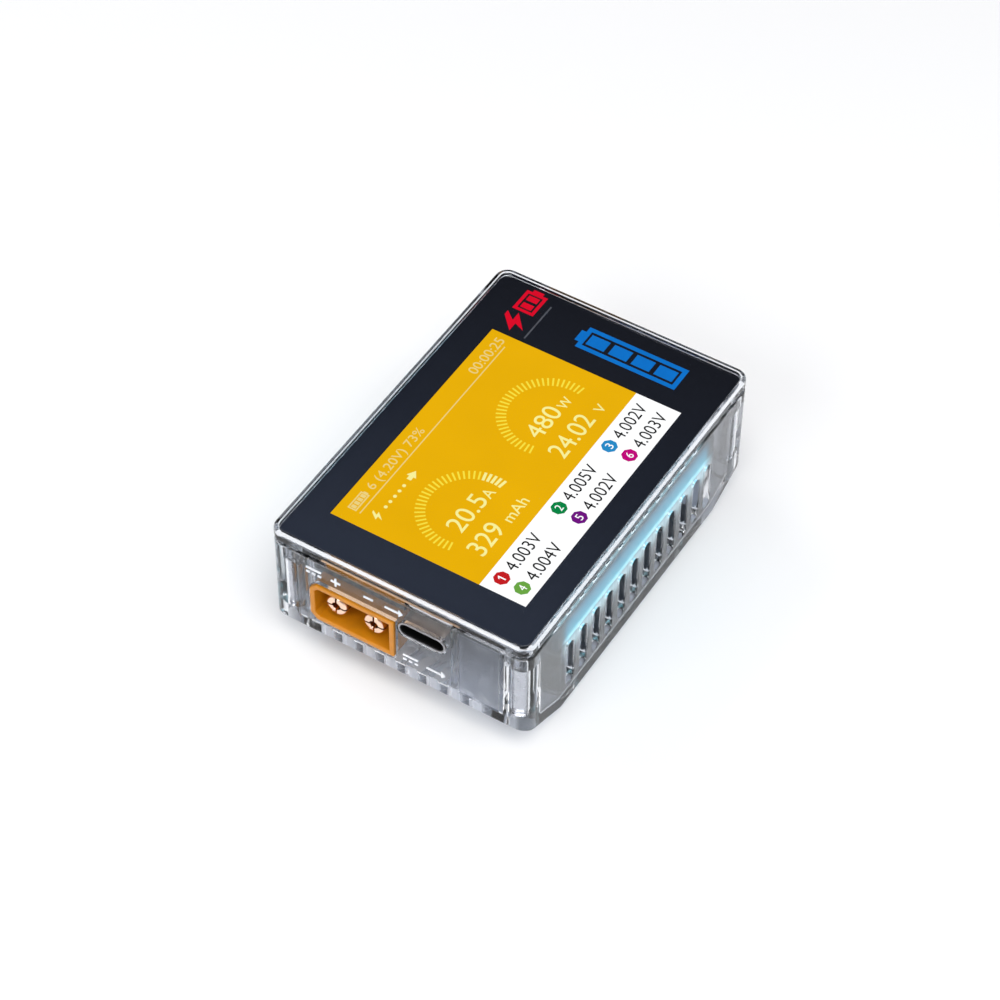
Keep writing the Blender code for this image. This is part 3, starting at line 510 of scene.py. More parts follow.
# Colour, roughness, how metallic, and the size and depth of the grain in millimetres
GRAINED = {
    "display": ((0.004, 0.004, 0.005), 0.3, 0.0, 0.5, 0.003),
    "steel": ((0.62, 0.62, 0.64), 0.3, 1.0, 0.3, 0.004),
    "orange_nylon": ((0.56, 0.205, 0.002), 0.4, 0.0, 0.25, 0.008),
    "gold_plate": ((0.95, 0.66, 0.50), 0.18, 1.0, 0.4, 0.003),
    "white_nylon": ((0.78, 0.77, 0.72), 0.45, 0.0, 0.3, 0.006),
    "thermal_pad": ((0.45, 0.55, 0.62), 0.7, 0.0, 0.2, 0.02),
    "black_plastic": ((0.018, 0.018, 0.020), 0.45, 0.0, 0.2, 0.01),
    "aluminium": ((0.70, 0.71, 0.73), 0.32, 1.0, 0.15, 0.01),
    "rubber": ((0.025, 0.025, 0.026), 0.85, 0.0, 0.15, 0.02),
    "lead_sheath": ((0.02, 0.02, 0.02), 0.5, 0.0, 0.3, 0.01),
    "dark_steel": ((0.36, 0.36, 0.38), 0.35, 1.0, 0.3, 0.004),
}
FINISHES = {
    name: solid_finish(name, colour, roughness, metallic, grain=(size * MM, depth * MM))
    for name, (colour, roughness, metallic, size, depth) in GRAINED.items()
} | {
    "clear_plastic": CLEAR,
    "cover_glass": COVER_GLASS,
    "circuit_board": board_finish(),
    "ferrite": solid_finish("ferrite", (0.085, 0.085, 0.09), 0.6, patch=0.4 * MM, change=0.35),
    "copper": solid_finish("copper", (0.72, 0.34, 0.18), 0.3, 1.0, patch=0.5 * MM, change=0.2),
    "light_guide": glow_finish(),
    "flex_film": solid_finish("flex_film", (0.45, 0.20, 0.03), 0.3, patch=1.5 * MM, change=0.15),
}
AMBER = lit_finish("lit_amber", (0.783, 0.413, 0.0), 1.16)
LIT_WHITE = lit_finish("lit_white", (1.0, 1.0, 1.0), 1.15, 0.005)
CREAM = lit_finish("lit_cream", (1.0, 0.93, 0.34), 1.04)
PALE_TEXT = lit_finish("lit_pale_text", (0.93, 0.71, 0.25), 1.0)
PALE_AMBER = lit_finish("lit_pale_amber", (0.99, 0.79, 0.055), 1.07)
INK = lit_finish("dark_ink", (0.012, 0.012, 0.012), 1.0)
PRINT = painted_reflection_print_finish()
MATT = {"patch": 3 * MM, "change": 0.04, "Specular_IOR_Level": 0.0}
RED_PRINT = solid_finish("red_print", (0.66, 0.003, 0.02), 0.5, **MATT)
BLUE_PRINT = solid_finish("blue_print", (0.004, 0.15, 0.52), 0.5, **MATT)
GREY_PRINT = solid_finish("grey_print", (0.06, 0.065, 0.08), 0.5, patch=3 * MM, change=0.05)
# painted shade: a dark film that darkens the low band of the long walls, seen through them
DARK_FILM_PAINTED_SHADE = solid_finish("dark_film_painted_shade", (0.022, 0.025, 0.032), 0.35, patch=3 * MM, change=0.1)
# painted glow: stands in for a warm reflection through the end wall, not a lamp
PAINTED_WARM_GLOW = lit_finish("painted_warm_glow", (1.0, 0.62, 0.36), 0.9)
RAISED = solid_finish("raised_marks", (0.80, 0.82, 0.86), 0.3, patch=1 * MM, change=0.04)
# painted shade: near-black for the inside of the USB socket's mouth
SHADE_BLACK = solid_finish("painted_shade_black", (0.002, 0.002, 0.002), 0.6, Specular_IOR_Level=0.1)
BADGE_COLOURS = [(0.62, 0.012, 0.015), (0.0, 0.25, 0.06), (0.02, 0.28, 0.62)]
BADGE_COLOURS += [(0.16, 0.42, 0.06), (0.17, 0.005, 0.23), (0.58, 0.0, 0.21)]
BADGES = [lit_finish(f"badge_{i + 1}", colour, 1.0) for i, colour in enumerate(BADGE_COLOURS)]
for node_name, node in NODES.items():
    node.data.materials.clear()
    node.data.materials.append(FINISHES[SLOT_OF[node_name]])


# ---- the clear case

CASE_OUTLINE = rounded_rectangle((LENGTH, WIDTH), CORNER_RADIUS, steps=8)


def pillars(name, radius, place, levels, sides=24, material=None):
    """Four round bars, one at each corner of a rectangle about the origin."""
    shapes = [disc(radius, (sx * place[0], sy * place[1]), sides) for sx, sy in CORNERS]
    return bars(name, shapes, levels, material=material)


def end_wedges():
    """What lies below the two sloping ends of the underside."""
    slope = END_RISE / SLOPE_RUN
    shapes = []
    for side in (-1, 1):
        outer, inner = side * (HALF_LENGTH + BEYOND), side * (HALF_LENGTH - SLOPE_RUN - BEYOND)
        top, bottom = UNDERSIDE + END_RISE + BEYOND * slope, UNDERSIDE - BEYOND * slope
        shapes.append([(outer, top), (inner, bottom), (inner, -BEYOND), (outer, -BEYOND)])
    reach = HALF_WIDTH + BEYOND
    return bars("end_wedges", shapes, plain(-reach, reach), "Y")


def shell_cavity():
    """The hollow of the tray, with soft inner corners and a textured surface that carries painted shade and
    a painted glow.
    """
    slope = END_RISE / SLOPE_RUN
    thickness = FLOOR_THICKNESS * math.hypot(1, slope)
    inner = HALF_LENGTH - WALL
    end_floor = UNDERSIDE + END_RISE - WALL * slope + thickness
    kink = inner - (end_floor - UNDERSIDE - FLOOR_THICKNESS) / slope
    floor = UNDERSIDE + FLOOR_THICKNESS
    outline = [(-inner, end_floor), (-kink, floor), (kink, floor), (inner, end_floor)]
    outline += [(inner, HEIGHT), (-inner, HEIGHT)]
    reach = HALF_WIDTH - WALL
    cavity = bars("shell_cavity", [outline], plain(-reach, reach), "Y", FROSTED_PAINTED_LIGHT)
    return bevel(cavity, 0.7 * MM, 3, 60)


def vent_row(count):
    """The middles of a row of vents about the origin."""
    return [(i - (count - 1) / 2) * VENT_PITCH for i in range(count)]


def vent_cutters():
    """The upright slots of both long sides, the slots of both sloping ends, and the fan's grille."""
    edge, half = 0.35 * MM, VENT_WIDTH / 2
    cutters = []
    low, high = SIDE_VENT_LEVELS
    upright = [sized(capsule, (x - half, low), (x + half, high)) for x in vent_row(SIDE_VENTS)]
    for side in (-1, 1):
        levels = flared(side * HALF_WIDTH, side * (HALF_WIDTH - WALL - BEYOND), edge)
        cutters.append(bars(f"side_vents_{side}", upright, levels, "Y"))
    near, far, wide = HALF_LENGTH - SLOPE_RUN + 1.5 * MM, HALF_LENGTH - 1.2 * MM, END_VENT_WIDTH / 2
    ends = [
        capsule((x0, y - wide), (x1, y + wide))
        for y in vent_row(END_VENTS)
        for x0, x1 in ((near, far), (-far, -near))
    ]
    through = plain(-BEYOND, UNDERSIDE + END_RISE + BEYOND)
    cutters.append(bars("end_vents", ends, through, material=HAZY))
    slots = []
    for y in vent_row(GRILLE_SLOTS):
        reach = math.sqrt(GRILLE_RADIUS**2 - y**2)
        slots.append(sized(capsule, (-reach, y - half), (reach, y + half)))
    levels = flared(UNDERSIDE, UNDERSIDE + FLOOR_THICKNESS + BEYOND, edge)
    cutters.append(bars("grille_slots", slots, levels))
    return cutters


def socket_cutters():
    """The openings for the four sockets, a little larger than each socket."""
    gap, edge = 0.15 * MM, 0.2 * MM
    sockets = [
        ("input", power_outline, INPUT, -1),
        ("usb", capsule, USB, -1),
        ("output", power_outline, OUTPUT, 1),
        ("balance", rectangle, BALANCE, 1),
    ]
    cutters = []
    for name, outline, box, side in sockets:
        levels = flared(side * HALF_LENGTH, side * (HALF_LENGTH - WALL - BEYOND), edge)
        cutters.append(bars(name + "_opening", [sized(outline, *end_face(box), gap)], levels, "X"))
    return cutters


def arrow(tip, tail, level, head, spread, half):
    """An arrow's outline: its ends, its level, its head's length and spread, and half its stroke."""
    bend = tip + head if tip < tail else tip - head
    edge = [(bend, -spread), (bend, -half), (tail, -half), (tail, half), (bend, half), (bend, spread)]
    return [(tip, level)] + [(place, level + offset) for place, offset in edge]


def wall_marks():
    """Raised signs on the supply end: direct current twice, plus and minus, and two arrows."""
    half, arm, high, low = 0.18, 0.9, 20.4, 10.2

    def dash(y, z, length):
        return rectangle((y - length / 2, z - half), (y + length / 2, z + half))

    def direct_current(y, z):
        return [dash(y, z + 0.5, 2.9)] + [dash(y + i * 1.1, z - 0.5, 0.7) for i in (-1, 0, 1)]

    def plus(y, z):
        reaches = [(half, arm), (-arm, -half)]
        return [dash(y, z, 2 * arm)] + [rectangle((y - half, z + a), (y + half, z + b)) for a, b in reaches]

    signs = [*direct_current(15.6, high), *plus(11.4, high), dash(5.2, high, 2 * arm)]
    signs += [arrow(-1.3, 2.1, high, 0.8, 0.8, half), *direct_current(-2.6, low)]
    signs += [arrow(-9.2, -5.6, low, 0.8, 0.8, half)]
    shapes = [[(y * MM, z * MM) for y, z in sign] for sign in signs]
    marks = bars("wall_marks", shapes, plain(-HALF_LENGTH - 0.25 * MM, -HALF_LENGTH), "X", RAISED)
    detail(smooth(bevel(marks, 0.06 * MM, 2)))


def case_shell():
    """The clear tray, with rounded mouths to its openings and a textured inside that carries painted shade
    and a painted glow.
    """
    shell = bars("case_shell", [CASE_OUTLINE], plain(UNDERSIDE, SHELL_TOP), material=CLEAR)
    wedges = end_wedges()
    bevel(combine(shell, wedges), 0.5 * MM)
    combine(shell, shell_cavity())
    wall, half = -HALF_LENGTH + WALL, 0.4 * MM
    ribs = [rectangle((wall - WALL / 2, y - half), (wall + 1.5 * MM, y + half)) for y in END_RIBS]
    rib_levels = plain(UNDERSIDE + END_RISE, 22.0 * MM)
    combine(shell, bars("end_ribs", ribs, rib_levels, material=CLEAR), "UNION")
    floor = UNDERSIDE + FLOOR_THICKNESS / 2
    posts = pillars("posts", POST_RADIUS, POST, rounded(UNDERSIDE + 1 * MM, POST_TOP, 0.3 * MM), 32, CLEAR)
    combine(posts, wedges)
    standoff_levels = rounded(floor, BOARD_LOW.z - 0.1 * MM, 0.2 * MM)
    standoffs = pillars("standoffs", 1.9 * MM, STANDOFF, standoff_levels, 24, CLEAR)
    pegs = pillars("fan_pegs", 1.1 * MM, (FAN_PEG, FAN_PEG), rounded(floor, 5 * MM, 0.3 * MM), 16, CLEAR)
    for post in (posts, standoffs, pegs):
        combine(shell, post, "UNION")
    combine(shell, pillars("post_bores", 1.1 * MM, POST, plain(0, HEIGHT), 20))
    pocket = [(0.0, 0.3 * MM), (UNDERSIDE, 0.3 * MM), (UNDERSIDE + 5 * MM, 0.0), (SCREW_SEAT, 0.0)]
    combine(shell, pillars("post_pockets", 1.95 * MM, POST, pocket, 32, FROSTED_PAINTED_LIGHT))
    combine(shell, pillars("standoff_bores", 1.05 * MM, STANDOFF, plain(11.5 * MM, HEIGHT), 20))
    combine(shell, pillars("foot_recesses", 3.15 * MM, FOOT, plain(0, 1.4 * MM), 40))
    for cutter in vent_cutters() + socket_cutters():
        combine(shell, cutter)
    depth = plain(-HALF_LENGTH - BEYOND, -HALF_LENGTH + 0.35 * MM)
    # the recess takes the grey-tinted textured finish: painted shade
    combine(shell, bars("label_recess", [rectangle(*LABEL_RECESS)], depth, "X", TEXTURED_PAINTED_SHADE))
    stands_for(settle(shell, 30), "lower_shell")


def case_bezel():
    """The clear frame round the cover glass, with its lip and its four screw bosses."""
    bezel = bars("case_bezel", [CASE_OUTLINE], plain(PARTING, HEIGHT), material=CLEAR)
    bevel(bezel, 0.55 * MM, 4)
    corner = (HALF_LENGTH - WALL - 0.2 * MM, HALF_WIDTH - WALL - 0.2 * MM)
    opposite = (-corner[0], -corner[1])
    bosses = pillars("bosses", POST_RADIUS, POST, plain(POST_TOP + 0.3 * MM, PARTING + 0.6 * MM), 32, CLEAR)
    limit = rectangle(opposite, corner, -0.1 * MM)
    combine(bosses, bars("boss_limit", [limit], plain(0, HEIGHT)), "INTERSECT")
    combine(bezel, bosses, "UNION")
    lip_outline = rounded_rectangle((2 * corner[0], 2 * corner[1]), 0.8 * MM)
    lip = bars("lip", [lip_outline], plain(PARTING - 1.0 * MM, PARTING + 0.5 * MM), material=CLEAR)
    inside = rectangle(opposite, corner, -0.8 * MM)
    combine(lip, bars("lip_inside", [inside], plain(PARTING - BEYOND, PARTING + BEYOND)))
    combine(bezel, lip, "UNION")
    glass = GLASS_HIGH - GLASS_LOW
    pocket = rounded_rectangle((glass.x + 0.3 * MM, glass.y + 0.3 * MM), 1.6 * MM)
    combine(bezel, bars("glass_pocket", [pocket], plain(GLASS_LOW.z - 0.1 * MM, HEIGHT + BEYOND)))
    window = rectangle(*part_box("lcd_frame"), 0.3 * MM)
    combine(bezel, bars("window", [window], plain(PARTING - BEYOND, HEIGHT)))
    combine(bezel, pillars("boss_bores", 1.05 * MM, POST, plain(POST_TOP, PARTING - 0.3 * MM), 20))
    stands_for(settle(bezel, 30), "bezel_frame")


# ---- the display

# Places in the picture are in millimetres, and are moved by this on the charger
PICTURE_SHIFT = (0.50, 0.31)
PICTURE = ((-27.5, -18.9), (21.6, 17.8))
BAND_TOP = -10.3
LIT_LEVEL = CELL_TOP + FILM
TEXT_LEVEL = LIT_LEVEL + 2 * FILM
BADGE_TEXT_LEVEL = TEXT_LEVEL + 2 * FILM
PRINT_LEVEL = GLASS_LOW.z - 2 * FILM


def placed(outline):
    """An outline in the picture's millimetres, as places on the charger."""
    return [((x + PICTURE_SHIFT[0]) * MM, (y + PICTURE_SHIFT[1]) * MM) for x, y in outline]


def layer(name, outlines, material, level=TEXT_LEVEL):
    """Flat shapes of one colour, as thick as a film."""
    shapes = [placed(outline) for outline in outlines]
    return detail(bars(name, shapes, plain(level, level + FILM), material=material))


def digits(name, text, low, high, material, level=TEXT_LEVEL):
    """Figures that fill the rectangle between two corners."""
    curve = bpy.data.curves.new(name, "FONT")
    curve.body = text
    curve.extrude = 0.5
    guide = new_object(name, curve)
    graph = bpy.context.evaluated_depsgraph_get()
    mesh = bpy.data.meshes.new_from_object(guide.evaluated_get(graph))
    bpy.data.objects.remove(guide)
    xs, ys = [v.co.x for v in mesh.vertices], [v.co.y for v in mesh.vertices]
    wide, tall = (high[0] - low[0]) / (max(xs) - min(xs)), (high[1] - low[1]) / (max(ys) - min(ys))
    places = placed((low[0] + (x - min(xs)) * wide, low[1] + (y - min(ys)) * tall) for x, y in zip(xs, ys))
    for vert, place in zip(mesh.vertices, places):
        vert.co = (*place, level + (FILM if vert.co.z > 0 else 0.0))
    mesh.materials.clear()
    return detail(new_object(name, mesh, material))


def gauge(name, middle, lit):
    """A ring of marks, open at the bottom. The last few, as many as are lit, are bold and white."""
    inner, outer, count = 7.05, 8.8, 34
    faint, bold = [], []
    for i in range(count):
        angle = math.radians(190 - 200 * i / (count - 1))
        out = Vector((math.cos(angle), math.sin(angle)))
        is_lit = i >= count - lit
        side = Vector((-out.y, out.x)) * (0.24 if is_lit else 0.155)
        near, far = Vector(middle) + out * inner, Vector(middle) + out * outer
        corners = [near - side, far - side, far + side, near + side]
        (bold if is_lit else faint).append([tuple(corner) for corner in corners])
    layer(name + "_marks", faint, PALE_AMBER)
    if bold:
        layer(name + "_lit_marks", bold, CREAM)


def bolt(middle, size):
    """A lightning bolt's outline."""
    points = [(0.15, 0.5), (-0.5, -0.08), (-0.06, -0.08), (-0.25, -0.5), (0.5, 0.1), (0.05, 0.1), (0.4, 0.5)]
    return [(middle[0] + u * size[0], middle[1] + v * size[1]) for u, v in points]


def battery_icon(low, high, wall, along, count):
    """A battery's outline as four walls and a cap at the high end of an axis, with level bars in it."""
    (x0, y0), (x1, y1) = low, high
    walls = [
        rectangle((x0, y0), (x1, y0 + wall)),
        rectangle((x0, y1 - wall), (x1, y1)),
        rectangle((x0, y0 + wall), (x0 + wall, y1 - wall)),
        rectangle((x1 - wall, y0 + wall), (x1, y1 - wall)),
    ]
    order = 1 if along == "X" else -1  # -1 swaps x and y
    (u0, v0), (u1, v1) = low[::order], high[::order]
    pitch, cap, margin = (u1 - u0 - 2 * wall) / count, 0.25 * (v1 - v0), 1.6 * wall
    blocks = []
    for i in range(count):
        start = u0 + wall * 1.5 + i * pitch
        blocks.append((start, v0 + margin, start + pitch - wall, v1 - margin))
    blocks.append((u1, v0 + cap, u1 + wall, v1 - cap))
    return walls + [rectangle((a, b)[::order], (c, d)[::order]) for a, b, c, d in blocks]


def header():
    """The picture's top line, with a rule under it, and the charging sign."""
    battery = battery_icon((-24.9, 14.5), (-20.9, 16.2), 0.25, "X", 4)
    layer("header_battery", battery, PALE_TEXT)
    digits("header_reading", "6 (4.20V) 73%", (-19.6, 14.1), (-4.2, 16.3), PALE_TEXT)
    digits("header_clock", "00:00:25", (11.0, 14.4), (20.3, 16.2), PALE_TEXT)
    layer("header_rule", [rectangle((-24.95, 13.66), (19.05, 13.86))], PALE_TEXT)
    dots = [circle(0.32, (-21.6 + 1.35 * i, 11.0), 12) for i in range(5)]
    signs = [bolt((-23.9, 11.1), (1.6, 2.3)), *dots, arrow(-12.5, -14.7, 11.1, 1.4, 0.9, 0.4)]
    layer("charging_sign", signs, CREAM)


def cell_readings():
    """A numbered badge and a voltage for each of the six cells."""
    columns = [(-24.4, -22.2), (-7.0, -4.8), (8.9, 11.2)]
    one = [(-0.12, -0.72), (0.14, -0.72), (0.14, 0.72), (-0.04, 0.72)]
    one += [(-0.4, 0.38), (-0.4, 0.16), (-0.12, 0.4)]
    for i, thousandths in enumerate((3, 5, 2, 4, 2, 3)):
        (x, text_x), y = columns[i % 3], (-12.6, -16.4)[i // 3]
        octagon = circle(1.4, (x, y), 8, math.pi / 8)
        layer(f"cell_badge_{i + 1}", [octagon], BADGES[i])
        name = f"cell_number_{i + 1}"
        if i == 0:
            layer(name, [[(x + u, y + v) for u, v in one]], LIT_WHITE, BADGE_TEXT_LEVEL)
        else:
            digits(name, str(i + 1), (x - 0.42, y - 0.72), (x + 0.42, y + 0.72), LIT_WHITE, BADGE_TEXT_LEVEL)
        low, high = (text_x, y - 1.15), (text_x + 8.5, y + 1.15)
        digits(f"cell_reading_{i + 1}", f"4.00{thousandths}V", low, high, INK)


def picture():
    """The lit picture: an amber field with two gauges, and a white band with a reading for each cell."""
    low, high = PICTURE
    layer("lit_field", [rectangle((low[0], BAND_TOP), high)], AMBER, LIT_LEVEL)
    layer("lit_band", [rectangle(low, (high[0], BAND_TOP))], LIT_WHITE, LIT_LEVEL)
    header()
    gauge("current_gauge", (-15.3, -0.85), 5)
    gauge("power_gauge", (9.3, -0.85), 0)
    readings = [
        ("current", "20.5", (-19.9, -2.35), (-11.7, 1.0), "A", (-11.3, -2.35), (-9.5, -0.35)),
        ("charge", "329", (-22.2, -7.9), (-15.4, -4.4), "mAh", (-13.8, -7.9), (-8.2, -5.9)),
        ("power", "480", (4.1, -2.35), (11.4, 1.0), "W", (12.0, -2.35), (14.6, -0.55)),
        ("voltage", "24.02", (2.5, -7.9), (12.7, -4.4), "V", (14.5, -7.9), (16.2, -6.1)),
    ]
    for name, value, low, high, unit, unit_low, unit_high in readings:
        digits(name + "_reading", value, low, high, CREAM)
        digits(name + "_unit", unit, unit_low, unit_high, CREAM)
    cell_readings()


def cover():
    """The cover glass, its black print with a window for the picture, and two printed signs."""
    size = GLASS_HIGH - GLASS_LOW

    def glass(grow):
        return rounded_rectangle((size.x + 2 * grow, size.y + 2 * grow), GLASS_RADIUS + grow, steps=8)

    levels = rounded(GLASS_LOW.z, GLASS_HIGH.z, 0.12 * MM)
    stands_for(smooth(bars("cover_glass", [glass], levels, material=COVER_GLASS)), "touch_glass")
    inside = rounded_rectangle((size.x - 0.3 * MM, size.y - 0.3 * MM), 1.4 * MM)
    mask = bars("cover_print", [inside], plain(PRINT_LEVEL, PRINT_LEVEL + FILM), material=PRINT)
    window = placed(rectangle(*PICTURE))
    combine(mask, bars("picture_window", [window], plain(PRINT_LEVEL - BEYOND, HEIGHT)))
    detail(settle(mask))
    level = PRINT_LEVEL + FILM * 1.5
    red = [bolt((24.9, 15.5), (4.4, 4.7)), *battery_icon((27.6, 13.5), (32.6, 17.6), 0.62, "X", 2)]
    layer("red_sign", red, RED_PRINT, level)
    layer("grey_rule", [rectangle((22.4, 11.85), (31.2, 12.15))], GREY_PRINT, level)
    blue = battery_icon((25.4, -15.3), (30.6, 3.9), 0.85, "Y", 4)
    layer("blue_sign", blue, BLUE_PRINT, level)


# ---- sockets


PIN_PITCH = 7.2 * MM
PIN_RADIUS = 1.75 * MM
PIN_SPLIT = 7 * MM  # how far back a pin is split and hollow
# How far behind a pin's tip, and how much wider there, in millimetres
PIN_BULGE = [(0.0, -0.15), (0.12, 0.06), (0.35, 0.2), (0.7, 0.27), (2.5, 0.27), (5.0, 0.15), (7.5, 0.0)]


def split_pin(name, y, z, tip, end):
    """A pin that bulges a little, is split in four and hollow at its tip, and bends down to a tail."""
    levels = [(tip + back * MM, wider * MM) for back, wider in PIN_BULGE] + [(end, 0.0)]
    pin = bars("split_" + name, [disc(PIN_RADIUS, (y, z), 40)], levels, "X", FINISHES["gold_plate"])
    hollow = flared(tip, tip + PIN_SPLIT, 0.2 * MM)
    combine(pin, bars(name + "_hollow", [disc(0.75 * MM, (y, z), 28)], hollow, "X"))
    half, reach = 0.17 * MM, 3 * MM
    for tag, u, v in (("upright", half, reach), ("level", reach, half)):
        slot = rectangle((y - u, z - v), (y + u, z + v))
        combine(pin, bars(f"{name}_{tag}", [slot], plain(tip - BEYOND, tip + PIN_SPLIT), "X"))
    high, tail_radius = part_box(name)[1], 0.8 * MM
    neck = circle(1.0 * MM, (y, z), 20)
    combine(pin, bars(name + "_neck", [neck], plain(end - 1 * MM, high.x), "X"), "UNION")
    tail = circle(tail_radius, (high.x - tail_radius, y), 16)
    combine(pin, bars(name + "_tail", [tail], plain(z, high.z)), "UNION")
    stands_for(settle(pin), name)


def supply_socket():
    """The supply inlet: a nylon cup with rounded edges, and its two pins."""
    face, back = INPUT[0].x, INPUT[1].x
    low, high = end_face(INPUT)
    y, z = (low[0] + high[0]) / 2, (low[1] + high[1]) / 2
    pins = {"input_pin_negative": y - PIN_PITCH / 2, "input_pin_positive": y + PIN_PITCH / 2}
    cup = bars("supply_cup", [power_outline(low, high)], plain(face, back), "X", FINISHES["orange_nylon"])
    bevel(cup, 0.25 * MM)
    well = sized(power_outline, low, high, -0.95 * MM)
    combine(cup, bars("cup_well", [well], flared(face, face + 12 * MM, 0.3 * MM), "X"))
    holes = [disc(PIN_RADIUS + 0.1 * MM, (pin_y, z)) for pin_y in pins.values()]
    combine(cup, bars("pin_holes", holes, plain(face - BEYOND, back + BEYOND), "X"))
    stands_for(settle(cup), "input_housing")
    for name in ("input_pin_positive", "input_pin_negative"):
        split_pin(name, pins[name], z, face + 1.0 * MM, back + 0.2 * MM)


def usb_inside():
    """The contacts on the USB tongue, and a black liner in the socket's mouth that is painted shade."""
    low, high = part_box("usb_tongue")
    count, half = 12, 0.13 * MM
    strips = []
    for i in range(count):
        y = low.y + (high.y - low.y) * (i + 0.5) / count
        strips.append(rectangle((low.x + 0.4 * MM, y - half), (high.x - 1 * MM, y + half)))
    levels = plain(high.z, high.z + FILM)
    detail(bars("usb_contacts", strips, levels, material=FINISHES["gold_plate"]))
    NODES["usb_shell"].data.materials[0] = FINISHES["dark_steel"]
    # painted shade: a near-black sleeve that makes the socket's mouth read dark
    sleeve, inside = [sized(capsule, *end_face(USB), -inset * MM) for inset in (0.34, 0.55)]
    depth = USB[0].x + 0.2 * MM
    liner = bars("usb_shade_liner", [sleeve], plain(depth, depth + 5 * MM), "X", SHADE_BLACK)
    combine(liner, bars("usb_liner_hole", [inside], plain(depth - BEYOND, depth + 8 * MM), "X"))
    detail(settle(liner))


# ---- inside


def polish(names, width=0.12 * MM, segments=2):
    """Rounds the edges of CAD nodes that keep their own shape."""
    for name in names:
        welded = modify(NODES[name], "weld", "WELD", merge_threshold=0.002 * MM)
        smooth(bevel(welded, width, segments), weight=50)


def square(x, y, half_x, half_y):
    """A rectangle about a place, as its low x, low y, high x and high y."""
    return x - half_x, y - half_y, x + half_x, y + half_y


def apart(a, b, gap=0.3 * MM):
    return a[2] + gap < b[0] or a[0] - gap > b[2] or a[3] + gap < b[1] or a[1] - gap > b[3]


def obstacles():
    """The room on the boards that is taken, each as a rectangle and its lowest and highest level."""
    wide = ("lower_shell", "bezel_frame", "main_board", "display_board")
    wide += ("lcd_frame", "lcd_cell", "touch_glass")
    taken = []
    for low, high in (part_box(name) for name in NODES if name not in wide):
        taken.append(((low.x, low.y, high.x, high.y), low.z, high.z))
    for sx, sy in CORNERS:
        standoff = square(sx * STANDOFF[0], sy * STANDOFF[1], 2.2 * MM, 2.2 * MM)
        taken.append((standoff, 0.0, BOARD_HIGH.z + 0.01 * MM))
    return taken


def chips():
    """Small parts on both boards: black packages, pale ceramics and dark resistors, in seeded places."""
    places = random.Random(5)
    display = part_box("display_board")
    faces = [
        ("main", BOARD_HIGH.z, 1, (BOARD_LOW, BOARD_HIGH), 70),
        ("main_under", BOARD_LOW.z, -1, (BOARD_LOW, BOARD_HIGH), 26),
        ("display", display[0].z, -1, display, 46),
    ]
    kinds = {
        "black": ((3.2, 2.6, 0.7), "black_plastic"),
        "pale": ((1.6, 0.8, 0.7), "white_nylon"),
        "dark": ((1.0, 0.5, 0.35), "ferrite"),
    }
    avoid = obstacles()
    for board, level, way, (low, high), count in faces:
        made = {kind: [] for kind in kinds}
        heights = {}
        for kind, (size, _) in kinds.items():
            heights[kind] = sorted((level + way * 0.02 * MM, level + way * size[2] * MM))
        taken = []
        for _ in range(count * 6):
            kind = places.choice(("black", "pale", "pale", "dark", "dark", "dark"))
            half_x, half_y = [side / 2 * MM for side in kinds[kind][0][:2]]
            if places.random() < 0.4:
                half_x, half_y = half_y, half_x
            x = places.uniform(low.x + 4 * MM, high.x - 4 * MM)
            y = places.uniform(low.y + 2.2 * MM, high.y - 2.2 * MM)
            here = square(x, y, half_x, half_y)
            z0, z1 = heights[kind]
            free = all(apart(here, room) or z1 < bottom or z0 > top for room, bottom, top in avoid)
            if free and all(apart(here, other) for other in taken) and len(taken) < count:
                taken.append(here)
                made[kind].append(rectangle(here[:2], here[2:]))
        for kind, (_, slot) in kinds.items():
            if made[kind]:
                name = f"{board}_{kind}_chips"
                piece = bars(name, made[kind], plain(*heights[kind]), material=FINISHES[slot])
                detail(smooth(bevel(piece, 0.06 * MM, 2)))


def trim():
    """Dark film under both light bars, laid as painted shade, and a painted warm glow at the display's
    supply-end edge, standing in for a warm reflection.
    """
    floor = UNDERSIDE + FLOOR_THICKNESS + 0.05 * MM
    levels = plain(floor, floor + 0.25 * MM)
    near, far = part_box("fan_frame")[1].y + 0.4 * MM, HALF_WIDTH - WALL - 0.25 * MM
    # painted shade: dark films on the case floor along both long walls darken the band below the vents
    for name, side in (("front", -1), ("rear", 1)):
        outline = rounded_rectangle((47 * MM, far - near), 1 * MM, (0, side * (near + far) / 2))
        film = bars(f"painted_shade_film_{name}", [outline], levels, material=DARK_FILM_PAINTED_SHADE)
        for sx in (-1, 1):
            hole = disc(2.2 * MM, (sx * STANDOFF[0], side * STANDOFF[1]))
            combine(film, bars(f"film_hole_{name}_{sx}", [hole], plain(0, 5 * MM)))
        detail(settle(film))
    # painted glow: a warm emission strip at the display's supply-end edge, for the orange socket's
    # reflection seen through the end wall
    low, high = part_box("lcd_frame")
    edge = rectangle((-10 * MM, low.z + 0.2 * MM), (16 * MM, high.z - 0.3 * MM))
    x = low.x - 0.12 * MM
    detail(bars("painted_warm_glow_strip", [edge], plain(x, x + 0.08 * MM), "X", PAINTED_WARM_GLOW))


